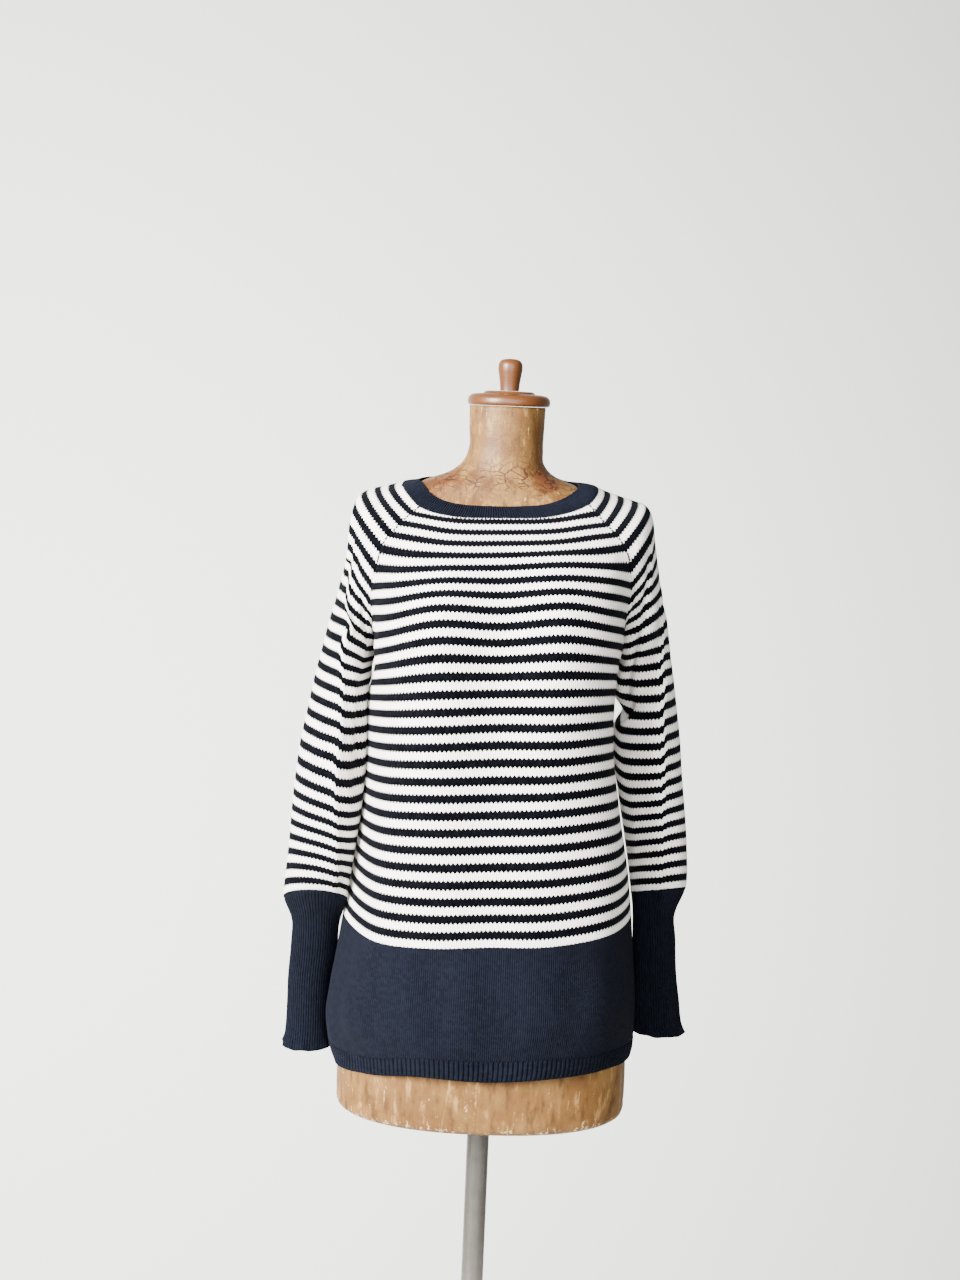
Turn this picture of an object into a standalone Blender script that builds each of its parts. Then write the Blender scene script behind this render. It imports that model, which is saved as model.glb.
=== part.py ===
"""Knit raglan jumper on a limbless dress form, as closed solids in millimetre-true sizes.

Units here are metres. Z is up, the floor is Z = 0, the pole's axis is X = Y = 0, the garment's front faces -Y.
"right" is the wearer's right (X < 0), "left" the wearer's left (X > 0).

Every wall follows rows of knitting. Row numbers count stripe repeats (one white and one navy band, about
19.8 mm) down from the neckband seam. A named line is a short table of (row, x, y, z) that the fabric passes
through; each row is a smooth curve through the named lines at that row.
"""

import math

import bpy
import numpy as np
from mathutils import Vector
from mathutils.bvhtree import BVHTree

WALL = 0.0020            # thickness of the plain knit
RIB_WALL = 0.0022        # thickness of a ribbed band between its ribs' tops and its plain inside
RIB_HIGH = 0.00028       # a rib's crest above the wall's middle skin
RIB_LOW = 0.00028        # a rib's groove below it
SEAM_HALF = 0.00016      # half of the 0.3 mm gap between two sewn pieces
FORM_CLEAR = 0.0026      # middle of the cloth to the form's skin: half a wall and a little air
TUBE_CLEAR = 0.0042      # middle of a sleeve to the middle of the body

UNDERARM_ROW = 9.75
HEM_SEAM_ROW = 34.34     # body meets the hem rib
CUFF_SEAM_ROW = 28.47    # sleeve meets the cuff
CUFF_ROWS = [0, 12, 28, 95, 160]   # millimetres down from the cuff's seam; the last ring is its edge

YOKE_ROWS = [0, 1.1, 2.2, 3.2, 4.2, 5.4, 6.5, 7.6, 8.6, 9.3, UNDERARM_ROW]
BODY_ROWS = [10.3, 11.3, 13, 15.4, 18, 20.6, 23.2, 25.5, 27.47, 29.8, 31.8, 33.2, HEM_SEAM_ROW]
SLEEVE_ROWS = [10.3, 11.3, 12.7, 14.4, 16.4, 18.4, 20.5, 22.6, 24.7, 26.8, CUFF_SEAM_ROW]
FRONT_SIDE = 12          # columns from the centre front to either edge
BACK_SIDE = 8
SLEEVE_SIDE = 10         # columns from the sleeve's top line to either edge

HEM_RIBS = 174
NECK_RIBS = 208
CUFF_RIBS = 56

# Front panel: centre, the line over each bust, the corner where the flat front turns to the side.
CENTRE_FRONT = [
    (0.40, 0.0000, -0.0760, 1.3742), (1.47, 0.0, -0.0880, 1.3622), (2.47, 0.0, -0.0995, 1.3510),
    (3.47, 0.0, -0.1095, 1.3390), (4.47, 0.0, -0.1180, 1.3262), (5.47, 0.0, -0.1255, 1.3124),
    (6.47, 0.0, -0.1320, 1.2975), (7.47, 0.0, -0.1370, 1.2815), (8.47, 0.0, -0.1405, 1.2645),
    (9.47, 0.0, -0.1430, 1.2467), (10.47, 0.0, -0.1445, 1.2286), (12.47, 0.0, -0.1450, 1.1909),
    (15.47, 0.0, -0.1431, 1.1330), (18.47, 0.0, -0.1405, 1.0730), (21.47, 0.0, -0.1376, 1.0134),
    (24.47, 0.0, -0.1353, 0.9530), (27.47, 0.0, -0.1340, 0.8947), (30.00, 0.0, -0.1350, 0.8460),
    (32.50, 0.0, -0.1365, 0.7970), (33.60, 0.0, -0.1350, 0.7740), (34.34, 0.0, -0.1300, 0.7592),
]
BUST_RIGHT = [
    (0.40, -0.0527, -0.0730, 1.3732), (1.5, -0.058, -0.0855, 1.3605), (3.0, -0.063, -0.1040, 1.3425),
    (4.5, -0.066, -0.1195, 1.3225), (6.0, -0.068, -0.1315, 1.3030), (7.5, -0.069, -0.1430, 1.2815),
    (9.75, -0.069, -0.1510, 1.2425), (12.5, -0.068, -0.1505, 1.1870), (16.5, -0.067, -0.1450, 1.1082),
    (20.5, -0.067, -0.1395, 1.0292), (24.5, -0.068, -0.1335, 0.9485), (27.47, -0.069, -0.1300, 0.8895),
    (30.0, -0.071, -0.1310, 0.8410), (32.5, -0.073, -0.1325, 0.7925), (34.34, -0.071, -0.1255, 0.7585),
]
BUST_LEFT = [
    (0.40, 0.0460, -0.0735, 1.3768), (1.5, 0.055, -0.0860, 1.3652), (3.0, 0.062, -0.1040, 1.3490),
    (4.5, 0.066, -0.1195, 1.3315), (6.0, 0.069, -0.1315, 1.3110), (7.5, 0.071, -0.1430, 1.2895),
    (9.75, 0.072, -0.1510, 1.2500), (12.5, 0.072, -0.1505, 1.1950), (16.5, 0.071, -0.1450, 1.1165),
    (20.5, 0.071, -0.1395, 1.0380), (24.5, 0.072, -0.1335, 0.9570), (27.47, 0.072, -0.1305, 0.8975),
    (30.0, 0.073, -0.1315, 0.8490), (32.5, 0.074, -0.1325, 0.8005), (34.34, 0.072, -0.1260, 0.7635),
]
CORNER_RIGHT = [
    (0.20, -0.0830, -0.0630, 1.3772), (1.5, -0.092, -0.0745, 1.3640), (3.0, -0.106, -0.0870, 1.3445),
    (4.5, -0.1130, -0.0985, 1.3180), (6.0, -0.1190, -0.1035, 1.2925), (7.5, -0.1225, -0.1060, 1.2655),
    (9.75, -0.1270, -0.1040, 1.2230), (12.5, -0.1270, -0.1030, 1.1740), (16.5, -0.1240, -0.1015, 1.0990),
    (20.5, -0.1240, -0.1005, 1.0215), (24.5, -0.1265, -0.0980, 0.9435), (27.47, -0.1290, -0.0955, 0.8850),
    (30.0, -0.1360, -0.0935, 0.8370), (32.5, -0.1440, -0.0930, 0.7890), (34.34, -0.1385, -0.0850, 0.7430),
]
CORNER_LEFT = [
    (0.20, 0.0780, -0.0640, 1.3845), (1.5, 0.090, -0.0750, 1.3705), (3.0, 0.104, -0.0875, 1.3545),
    (4.5, 0.1140, -0.0985, 1.3310), (6.0, 0.1200, -0.1035, 1.3065), (7.5, 0.1240, -0.1060, 1.2800),
    (9.75, 0.1275, -0.1030, 1.2390), (12.5, 0.1265, -0.1000, 1.1900), (16.5, 0.1265, -0.0970, 1.1160),
    (20.5, 0.1345, -0.0950, 1.0395), (24.5, 0.1400, -0.0940, 0.9610), (27.47, 0.1410, -0.0935, 0.9035),
    (30.0, 0.1430, -0.0935, 0.8545), (32.5, 0.1450, -0.0930, 0.8060), (34.34, 0.1410, -0.0860, 0.7595),
]
# Raglan seam of the front panel, from the neckband seam to the underarm.
RAGLAN_RIGHT = [
    (0.0, -0.0968, -0.0540, 1.3811), (1.235, -0.1111, -0.0620, 1.3697), (2.235, -0.1223, -0.0670, 1.3571),
    (3.235, -0.1335, -0.0700, 1.3437), (4.75, -0.1425, -0.0705, 1.3115), (5.75, -0.1465, -0.0620, 1.2900),
    (6.75, -0.1478, -0.0520, 1.2710), (7.75, -0.1464, -0.0400, 1.2515), (8.75, -0.1447, -0.0250, 1.2303),
    (9.75, -0.1428, -0.0060, 1.2094),
]
RAGLAN_LEFT = [
    (0.0, 0.0951, -0.0520, 1.3920), (1.235, 0.1096, -0.0620, 1.3764), (2.235, 0.1203, -0.0670, 1.3659),
    (3.235, 0.1310, -0.0700, 1.3541), (4.235, 0.1405, -0.0708, 1.3370), (4.75, 0.1437, -0.0700, 1.3235),
    (5.75, 0.1466, -0.0620, 1.3030), (6.75, 0.1460, -0.0520, 1.2851), (7.75, 0.1436, -0.0400, 1.2657),
    (8.75, 0.1424, -0.0250, 1.2463), (9.75, 0.1418, -0.0060, 1.2255),
]
# Side seam, from the underarm to the hem rib.
SIDE_RIGHT = [
    (9.75, -0.1428, -0.0060, 1.2094), (10.3, -0.1412, -0.0020, 1.1985), (11.2, -0.1440, 0.0070, 1.1818),
    (12.5, -0.1500, 0.0200, 1.1590), (16.5, -0.1530, 0.0320, 1.0870), (20.5, -0.1570, 0.0340, 1.0140),
    (24.5, -0.1640, 0.0290, 0.9425), (27.47, -0.1725, 0.0220, 0.8885), (30.0, -0.1795, 0.0160, 0.8410),
    (32.5, -0.1870, 0.0100, 0.7900), (33.6, -0.1895, 0.0060, 0.7620), (34.34, -0.1855, 0.0040, 0.7330),
]
SIDE_LEFT = [
    (9.75, 0.1418, -0.0060, 1.2255), (10.3, 0.1375, -0.0050, 1.2145), (11.2, 0.1345, -0.0040, 1.1990),
    (12.5, 0.1325, -0.0030, 1.1760), (16.5, 0.1345, 0.0000, 1.1045), (20.5, 0.1470, 0.0020, 1.0320),
    (24.5, 0.1625, 0.0030, 0.9600), (27.47, 0.1702, 0.0030, 0.9060), (30.0, 0.1755, 0.0020, 0.8550),
    (32.5, 0.1802, 0.0010, 0.8030), (33.6, 0.1812, 0.0000, 0.7740), (34.34, 0.1810, 0.0000, 0.7510),
]
# Back panel, hidden in the photograph: centre and the line over each shoulder blade.
CENTRE_BACK = [
    (0.15, -0.003, 0.0745, 1.4165), (1.5, 0.0, 0.0855, 1.3930), (3.0, 0.0, 0.0950, 1.3660),
    (4.5, 0.0, 0.1015, 1.3380), (6.0, 0.0, 0.1060, 1.3095), (7.5, 0.0, 0.1095, 1.2805),
    (9.75, 0.0, 0.1120, 1.2370), (12.5, 0.0, 0.1125, 1.1830), (16.5, 0.0, 0.1110, 1.1040),
    (20.5, 0.0, 0.1095, 1.0250), (24.5, 0.0, 0.1100, 0.9460), (27.47, 0.0, 0.1120, 0.8880),
    (30.0, 0.0, 0.1150, 0.8390), (32.5, 0.0, 0.1175, 0.7910), (34.34, 0.0, 0.1130, 0.7540),
]
BLADE_RIGHT = [
    (0.1, -0.0560, 0.0660, 1.4125), (1.5, -0.0660, 0.0785, 1.3895), (3.0, -0.0740, 0.0885, 1.3620),
    (4.5, -0.0820, 0.0950, 1.3330), (6.0, -0.0890, 0.0985, 1.3040), (7.5, -0.0960, 0.1000, 1.2730),
    (9.75, -0.1100, 0.0930, 1.2260), (12.5, -0.1200, 0.0880, 1.1730), (16.5, -0.1230, 0.0860, 1.0955),
    (20.5, -0.1260, 0.0850, 1.0180), (24.5, -0.1310, 0.0845, 0.9410), (27.47, -0.1350, 0.0850, 0.8840),
    (30.0, -0.1390, 0.0865, 0.8350), (32.5, -0.1440, 0.0875, 0.7850), (34.34, -0.1390, 0.0830, 0.7445),
]
BLADE_LEFT = [
    (0.10, 0.0500, 0.0660, 1.4145), (1.5, 0.063, 0.0785, 1.3930), (3.0, 0.073, 0.0885, 1.3665),
    (4.5, 0.082, 0.0950, 1.3390), (6.0, 0.089, 0.0985, 1.3110), (7.5, 0.096, 0.1000, 1.2820),
    (9.75, 0.108, 0.0930, 1.2370), (12.5, 0.112, 0.0880, 1.1850), (16.5, 0.113, 0.0860, 1.1080),
    (20.5, 0.119, 0.0845, 1.0310), (24.5, 0.128, 0.0830, 0.9530), (27.47, 0.134, 0.0830, 0.8960),
    (30.0, 0.139, 0.0845, 0.8480), (32.5, 0.143, 0.0850, 0.7990), (34.34, 0.139, 0.0810, 0.7580),
]
# Back raglan seam: (row, x, z); how far it lies behind the front seam comes from the sleeve's own round.
BACK_RAGLAN_RIGHT = [
    (0.0, -0.0950, 1.4045), (1.5, -0.1080, 1.3850), (3.0, -0.1210, 1.3640), (4.5, -0.1330, 1.3370),
    (6.0, -0.1410, 1.3060), (7.5, -0.1445, 1.2700), (8.75, -0.1445, 1.2370), (9.75, -0.1428, 1.2094),
]
BACK_RAGLAN_LEFT = [
    (0.0, 0.0890, 1.4085), (1.5, 0.1050, 1.3880), (3.0, 0.1190, 1.3680), (4.5, 0.1320, 1.3430),
    (6.0, 0.1410, 1.3150), (7.5, 0.1435, 1.2830), (8.75, 0.1430, 1.2520), (9.75, 0.1418, 1.2255),
]
# The sleeve's round in the yoke: (row, half angle in degrees, half depth).
YOKE_ROUND = [
    (0.0, 52, 0.0620), (1.5, 60, 0.0670), (3.0, 70, 0.0700), (4.5, 82, 0.0685), (6.0, 97, 0.0630),
    (7.5, 118, 0.0600), (8.6, 140, 0.0580), (9.3, 161, 0.0575), (9.75, 180, 0.0570),
]
# The sleeve's outer line, over the shoulder and down the arm.
OUTER_RIGHT = [
    (0.0, -0.1190, 0.0000, 1.4048), (0.75, -0.1324, 0.0000, 1.4018), (1.75, -0.1479, 0.0000, 1.3984),
    (2.75, -0.1630, 0.0000, 1.3936), (3.4, -0.1710, 0.0000, 1.3860), (4.4, -0.1752, 0.0000, 1.3680),
    (5.75, -0.1772, 0.0010, 1.3440), (6.75, -0.1801, 0.0020, 1.3239), (7.75, -0.1838, 0.0030, 1.3042),
    (8.75, -0.1886, 0.0045, 1.2850), (9.75, -0.1926, 0.0040, 1.2664), (10.75, -0.1970, -0.0040, 1.2499),
    (12.75, -0.2049, -0.0130, 1.2133), (14.75, -0.2130, -0.0175, 1.1774), (16.75, -0.2197, -0.0195, 1.1402),
    (18.75, -0.2270, -0.0195, 1.1019), (20.47, -0.2313, -0.0175, 1.0665), (22.47, -0.2349, -0.0145, 1.0276),
    (24.47, -0.2373, -0.0105, 0.9896), (26.47, -0.2406, -0.0055, 0.9495), (27.47, -0.2427, -0.0025, 0.9282),
    (28.47, -0.2442, 0.0000, 0.9062),
]
OUTER_LEFT = [
    (0.0, 0.1062, -0.0040, 1.4088), (0.75, 0.1178, 0.0, 1.4043), (1.75, 0.1337, 0.0, 1.3997),
    (2.75, 0.1503, 0.0, 1.3950), (3.75, 0.1655, 0.0, 1.3892), (4.4, 0.1705, 0.0, 1.3790),
    (5.75, 0.1751, 0.0010, 1.3537), (6.75, 0.1787, 0.0020, 1.3344), (7.75, 0.1825, 0.0030, 1.3150),
    (8.75, 0.1860, 0.0045, 1.2950), (9.75, 0.1896, 0.0060, 1.2753), (10.75, 0.1929, 0.0080, 1.2555),
    (12.75, 0.2016, 0.0120, 1.2192), (14.75, 0.2087, 0.0150, 1.1823), (16.75, 0.2153, 0.0180, 1.1430),
    (18.75, 0.2212, 0.0210, 1.1057), (20.47, 0.2249, 0.0250, 1.0736), (22.47, 0.2298, 0.0270, 1.0371),
    (24.47, 0.2345, 0.0290, 1.0013), (26.47, 0.2379, 0.0310, 0.9653), (27.47, 0.2393, 0.0325, 0.9476),
    (28.47, 0.2391, 0.0335, 0.9288),
]
# The sleeve's inner line, from the underarm to the cuff.
INNER_RIGHT = [
    (9.75, -0.1428, -0.0060, 1.2094), (10.3, -0.1475, -0.0100, 1.1976), (11.2, -0.1480, -0.0170, 1.1835),
    (12.5, -0.1468, -0.0240, 1.1644), (16.5, -0.1488, -0.0300, 1.1012), (20.5, -0.1524, -0.0290, 1.0373),
    (24.5, -0.1606, -0.0240, 0.9743), (27.47, -0.1668, -0.0170, 0.9273), (28.47, -0.1684, -0.0140, 0.9111),
]
INNER_LEFT = [
    (9.75, 0.1418, -0.0060, 1.2255), (10.3, 0.1452, 0.0050, 1.2125), (11.2, 0.1412, 0.0170, 1.1955),
    (12.5, 0.1388, 0.0270, 1.1740), (13.3, 0.1430, 0.0300, 1.1600), (14.3, 0.1530, 0.0310, 1.1440),
    (15.2, 0.1440, 0.0330, 1.1280), (16.5, 0.1425, 0.0350, 1.1090), (20.5, 0.1528, 0.0380, 1.0450),
    (24.5, 0.1652, 0.0400, 0.9815), (27.47, 0.1730, 0.0380, 0.9350), (28.47, 0.1750, 0.0360, 0.9195),
]
SLEEVE_DEPTH = [
    (9.75, 0.0570), (12.5, 0.0545), (16.5, 0.0500), (20.5, 0.0455), (24.5, 0.0415), (27.2, 0.0385), (28.47, 0.0350),
]
# How far a sleeve's rows stand higher at their front than in the middle, by half depth: (row, right, left).
SLEEVE_LIFT = [
    (9.75, 0.0, 0.0), (15.0, 0.0, 0.0030), (19.0, 0.0010, 0.0070), (22.0, 0.0060, 0.0100), (25.0, 0.0125, 0.0120),
    (28.47, 0.0190, 0.0100),
]
# Cuff: (millimetres down from its seam, outer x y z, inner x y z, half depth, lift of its front).
CUFF_RIGHT = [
    (0, -0.2442, 0.0000, 0.9062, -0.1684, -0.0140, 0.9111, 0.0350, 0.0190),
    (12, -0.2408, 0.0040, 0.8959, -0.1729, -0.0060, 0.8978, 0.0310, 0.0160),
    (26, -0.2358, 0.0100, 0.8818, -0.1775, 0.0040, 0.8821, 0.0280, 0.0130),
    (66, -0.2356, 0.0220, 0.8442, -0.1813, 0.0200, 0.8399, 0.0265, 0.0070),
    (112, -0.2395, 0.0350, 0.7970, -0.1855, 0.0340, 0.7950, 0.0260, 0.0030),
    (150, -0.2405, 0.0410, 0.7590, -0.1870, 0.0420, 0.7590, 0.0262, 0.0000),
    (188, -0.2430, 0.0440, 0.7215, -0.1865, 0.0460, 0.7220, 0.0270, 0.0000),
    (202, -0.2462, 0.0450, 0.7075, -0.1850, 0.0470, 0.7085, 0.0290, 0.0000),
]
CUFF_LEFT = [
    (0, 0.2391, 0.0335, 0.9288, 0.1750, 0.0360, 0.9195, 0.0350, 0.0100),
    (12, 0.2345, 0.0345, 0.9160, 0.1772, 0.0360, 0.9085, 0.0310, 0.0090),
    (26, 0.2285, 0.0360, 0.9000, 0.1785, 0.0365, 0.8945, 0.0280, 0.0080),
    (66, 0.2305, 0.0400, 0.8620, 0.1805, 0.0380, 0.8580, 0.0270, 0.0050),
    (112, 0.2345, 0.0440, 0.8160, 0.1825, 0.0430, 0.8130, 0.0262, 0.0020),
    (150, 0.2405, 0.0465, 0.7790, 0.1840, 0.0465, 0.7770, 0.0262, 0.0000),
    (176, 0.2445, 0.0480, 0.7545, 0.1845, 0.0480, 0.7530, 0.0272, 0.0000),
    (188, 0.2490, 0.0480, 0.7420, 0.1840, 0.0480, 0.7435, 0.0290, 0.0000),
]
# Hem edge and the neckband's inner edge, as closed rings of (x, y, z) from the centre front towards X > 0.
HEM_EDGE = [
    (0.000, -0.1255, 0.7330), (0.072, -0.1215, 0.7375), (0.139, -0.0835, 0.7370), (0.1785, 0.000, 0.7295),
    (0.138, 0.0785, 0.7345), (0.000, 0.1085, 0.7315), (-0.138, 0.0785, 0.7190), (-0.1775, 0.002, 0.7095),
    (-0.1370, -0.0820, 0.7215), (-0.072, -0.1205, 0.7345),
]
NECK_EDGE = [
    (-0.0104, -0.0650, 1.3862), (0.0178, -0.0650, 1.3879), (0.0458, -0.0600, 1.3910), (0.0647, -0.0500, 1.3969),
    (0.0782, -0.0360, 1.4044), (0.0838, -0.0180, 1.4112), (0.0832, 0.0020, 1.4125), (0.0765, 0.0215, 1.4125),
    (0.0610, 0.0410, 1.4150), (0.0350, 0.0545, 1.4200), (-0.0050, 0.0595, 1.4225), (-0.0450, 0.0545, 1.4195),
    (-0.0725, 0.0410, 1.4125), (-0.0875, 0.0220, 1.4090), (-0.0968, 0.0020, 1.4065), (-0.0935, -0.0200, 1.4010),
    (-0.0846, -0.0360, 1.3932), (-0.0707, -0.0500, 1.3876), (-0.0477, -0.0600, 1.3854),
]

# Largest folds: (piece, height mm out of the skin, half width mm, [(row, share across the piece), ...]).
# Share runs over the piece's columns, from the front edge of a sleeve and the wearer's right edge of the front.
FOLDS = [
    ("sleeve_right", 3.6, 13, [(4.0, 0.38), (7.5, 0.28), (12.75, 0.235), (18.5, 0.20), (23.2, 0.165), (27.4, 0.15)]),
    ("sleeve_right", -4.2, 12, [(9.2, 0.07), (12.0, 0.09), (16.5, 0.12), (20.0, 0.10)]),
    ("sleeve_right", 2.6, 14, [(10.5, 0.72), (15.0, 0.76), (21.0, 0.80), (26.0, 0.82)]),
    ("sleeve_right", -3.0, 12, [(7.0, 0.86), (10.5, 0.87), (14.0, 0.84)]),
    ("sleeve_left", 3.2, 13, [(10.0, 0.46), (15.2, 0.34), (21.5, 0.29), (24.8, 0.26), (27.6, 0.21)]),
    ("sleeve_left", -3.4, 12, [(7.2, 0.18), (9.0, 0.20), (11.5, 0.18), (14.8, 0.11)]),
    ("sleeve_left", 2.4, 14, [(8.0, 0.70), (13.0, 0.75), (19.0, 0.80)]),
    ("sleeve_left", -2.8, 12, [(11.5, 0.86), (14.5, 0.85), (18.5, 0.88)]),
    ("front", -4.5, 20, [(27.8, 0.39), (30.5, 0.40), (33.4, 0.415)]),
    ("front", 3.4, 20, [(28.2, 0.20), (31.5, 0.193), (33.4, 0.17)]),
    ("front", 2.6, 18, [(28.0, 0.465), (30.5, 0.475), (33.2, 0.485)]),
    ("front", -2.6, 20, [(29.0, 0.70), (31.5, 0.71), (33.4, 0.70)]),
    ("back", -4.0, 24, [(27.0, 0.36), (30.5, 0.34), (33.4, 0.35)]),
    ("back", 3.2, 24, [(28.0, 0.62), (31.0, 0.60), (33.2, 0.63)]),
]

# Dress form: (z, half width, front depth, back depth, squareness, middle x).
FORM_RINGS = [
    (0.6602, 0.1690, 0.1030, 0.0960, 2.3, 0.0), (0.6640, 0.1725, 0.1065, 0.0990, 2.4, 0.0),
    (0.6750, 0.1738, 0.1085, 0.1005, 2.4, 0.0), (0.7000, 0.1742, 0.1095, 0.1010, 2.4, 0.0),
    (0.7350, 0.1732, 0.1100, 0.1015, 2.4, 0.0), (0.8000, 0.1680, 0.1090, 0.1020, 2.3, 0.0),
    (0.8800, 0.1530, 0.1030, 0.0990, 2.2, 0.0), (0.9600, 0.1320, 0.0950, 0.0900, 2.1, 0.0),
    (1.0200, 0.1230, 0.0910, 0.0830, 2.1, 0.0), (1.0800, 0.1230, 0.0950, 0.0840, 2.1, 0.0),
    (1.1400, 0.1260, 0.1110, 0.0880, 2.2, 0.0), (1.1900, 0.1290, 0.1310, 0.0920, 2.2, 0.0),
    (1.2300, 0.1320, 0.1350, 0.0950, 2.2, 0.0), (1.2700, 0.1360, 0.1260, 0.0960, 2.2, 0.0),
    (1.3100, 0.1430, 0.1080, 0.0940, 2.2, 0.0), (1.3450, 0.1560, 0.0920, 0.0890, 2.1, 0.0),
    (1.3700, 0.1650, 0.0760, 0.0820, 2.0, 0.0), (1.3820, 0.1635, 0.0670, 0.0780, 1.9, 0.0),
    (1.3890, 0.1540, 0.0620, 0.0750, 1.9, 0.0), (1.3950, 0.1380, 0.0585, 0.0720, 1.9, -0.002),
    (1.4010, 0.1165, 0.0560, 0.0690, 2.0, -0.004), (1.4075, 0.0970, 0.0535, 0.0655, 2.0, -0.006),
    (1.4135, 0.0820, 0.0505, 0.0610, 2.0, -0.007), (1.4200, 0.0645, 0.0475, 0.0550, 2.0, -0.006),
    (1.4320, 0.0490, 0.0445, 0.0470, 2.0, -0.004), (1.4500, 0.0433, 0.0420, 0.0430, 2.0, -0.0013),
    (1.4750, 0.0435, 0.0420, 0.0422, 2.0, -0.0013), (1.4996, 0.0440, 0.0425, 0.0425, 2.0, -0.0012),
]
FORM_SIDES = 32
POLE_RADIUS = 0.0135
BORE_RADIUS = 0.0138
# Turned pieces: (radius, z) up the outside, from the axis back to the axis.
NECK_CAP = [
    (0.0, 1.5000), (0.0455, 1.5000), (0.0474, 1.5018), (0.0478, 1.5050), (0.0470, 1.5088), (0.0440, 1.5118),
    (0.0380, 1.5134), (0.0300, 1.5142), (0.0285, 1.5158), (0.0255, 1.5168), (0.0, 1.5170),
]
CAP_KNOB = [
    (0.0, 1.5173), (0.0110, 1.5173), (0.0111, 1.5200), (0.0116, 1.5250), (0.0123, 1.5300), (0.0132, 1.5355),
    (0.0140, 1.5410), (0.0141, 1.5450), (0.0134, 1.5488), (0.0112, 1.5518), (0.0070, 1.5536), (0.0, 1.5542),
]
POLE = [
    (0.0, 0.0103), (POLE_RADIUS, 0.0103), (POLE_RADIUS, 0.35), (POLE_RADIUS, 0.6897), (0.0, 0.6897),
]
STAND_BASE = [
    (0.0, 0.0), (0.1770, 0.0), (0.1800, 0.0030), (0.1795, 0.0085), (0.1740, 0.0120), (0.1200, 0.0160),
    (0.0600, 0.0210), (0.0330, 0.0260), (0.0240, 0.0360), (0.0230, 0.0600), (0.0215, 0.0640),
    (BORE_RADIUS, 0.0640), (BORE_RADIUS, 0.0100), (0.0, 0.0100),
]


def line(table, row):
    """The point of a named line at this row: a smooth curve through its table, still at its ends."""
    t = np.array([r[0] for r in table], float)
    p = np.array([r[1:] for r in table], float)
    if row <= t[0]:
        return p[0].copy()
    if row >= t[-1]:
        return p[-1].copy()
    i = int(np.searchsorted(t, row)) - 1
    h = t[i + 1] - t[i]

    def slope(k):
        if k == 0:
            return (p[1] - p[0]) / (t[1] - t[0])
        if k == len(t) - 1:
            return (p[-1] - p[-2]) / (t[-1] - t[-2])
        a, b = t[k] - t[k - 1], t[k + 1] - t[k]
        return ((p[k] - p[k - 1]) / a * b + (p[k + 1] - p[k]) / b * a) / (a + b)

    u = (row - t[i]) / h
    m0, m1 = slope(i) * h, slope(i + 1) * h
    return (
        (2 * u**3 - 3 * u**2 + 1) * p[i]
        + (u**3 - 2 * u**2 + u) * m0
        + (-2 * u**3 + 3 * u**2) * p[i + 1]
        + (u**3 - u**2) * m1
    )


def through(points, before=None, after=None, steps=14):
    """Dense smooth curve through points; before and after are the neighbours that set the end directions."""
    p = [np.asarray(q, float) for q in points]
    p = [2 * p[0] - p[1] if before is None else np.asarray(before, float)] + p
    p = p + [2 * p[-1] - p[-2] if after is None else np.asarray(after, float)]
    pieces = []
    for i in range(1, len(p) - 2):
        a, b, c, d = p[i - 1], p[i], p[i + 1], p[i + 2]
        ta = max(np.linalg.norm(b - a), 1e-6) ** 0.5
        tb = max(np.linalg.norm(c - b), 1e-6) ** 0.5
        tc = max(np.linalg.norm(d - c), 1e-6) ** 0.5
        m1 = tb * ((b - a) / ta - (c - a) / (ta + tb) + (c - b) / tb)
        m2 = tb * ((c - b) / tb - (d - b) / (tb + tc) + (d - c) / tc)
        u = np.linspace(0, 1, steps + 1)[:, None]
        q = (2 * u**3 - 3 * u**2 + 1) * b + (u**3 - 2 * u**2 + u) * m1
        q = q + (-2 * u**3 + 3 * u**2) * c + (u**3 - u**2) * m2
        pieces.append(q if not pieces else q[1:])
    return np.concatenate(pieces)


def even(curve, count):
    """The curve cut in count equal lengths."""
    step = np.linalg.norm(np.diff(curve, axis=0), axis=1)
    s = np.concatenate([[0], np.cumsum(step)])
    want = np.linspace(0, s[-1], count + 1)
    return np.stack([np.interp(want, s, curve[:, k]) for k in range(3)], axis=1)


def split_even(points, middle, count, before=None, after=None):
    """A curve through points with count equal columns on each side of points[middle]."""
    steps = 14
    curve = through(points, before, after, steps)
    cut = middle * steps
    return np.concatenate([even(curve[: cut + 1], count), even(curve[cut:], count)[1:]])


def beyond(points, row, before, after):
    """Where a row goes past its panel: straight on at the yoke, round to the other panel below the underarm."""
    share = min(max((row - 7.0) / (UNDERARM_ROW - 7.0), 0.0), 1.0)
    share = share * share * (3 - 2 * share)
    first = 2 * points[0] - points[1]
    last = 2 * points[-1] - points[-2]
    return first + share * (before - first), last + share * (after - last)


def front_row(row):
    yoke = row <= UNDERARM_ROW
    right = line(RAGLAN_RIGHT if yoke else SIDE_RIGHT, row)
    left = line(RAGLAN_LEFT if yoke else SIDE_LEFT, row)
    points = [
        right, line(CORNER_RIGHT, row), line(BUST_RIGHT, row), line(CENTRE_FRONT, row),
        line(BUST_LEFT, row), line(CORNER_LEFT, row), left,
    ]
    return split_even(points, 3, FRONT_SIDE, *beyond(points, row, line(BLADE_RIGHT, row), line(BLADE_LEFT, row)))


def back_seam(front_table, back_table, row):
    """The back raglan seam's point: as far behind the front seam as the sleeve is deep there."""
    front = line(front_table, row)
    x, z = line(back_table, row)
    angle, depth = line(YOKE_ROUND, row)
    return np.array([x, front[1] + 2 * depth * math.sin(math.radians(angle)), z])


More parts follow.
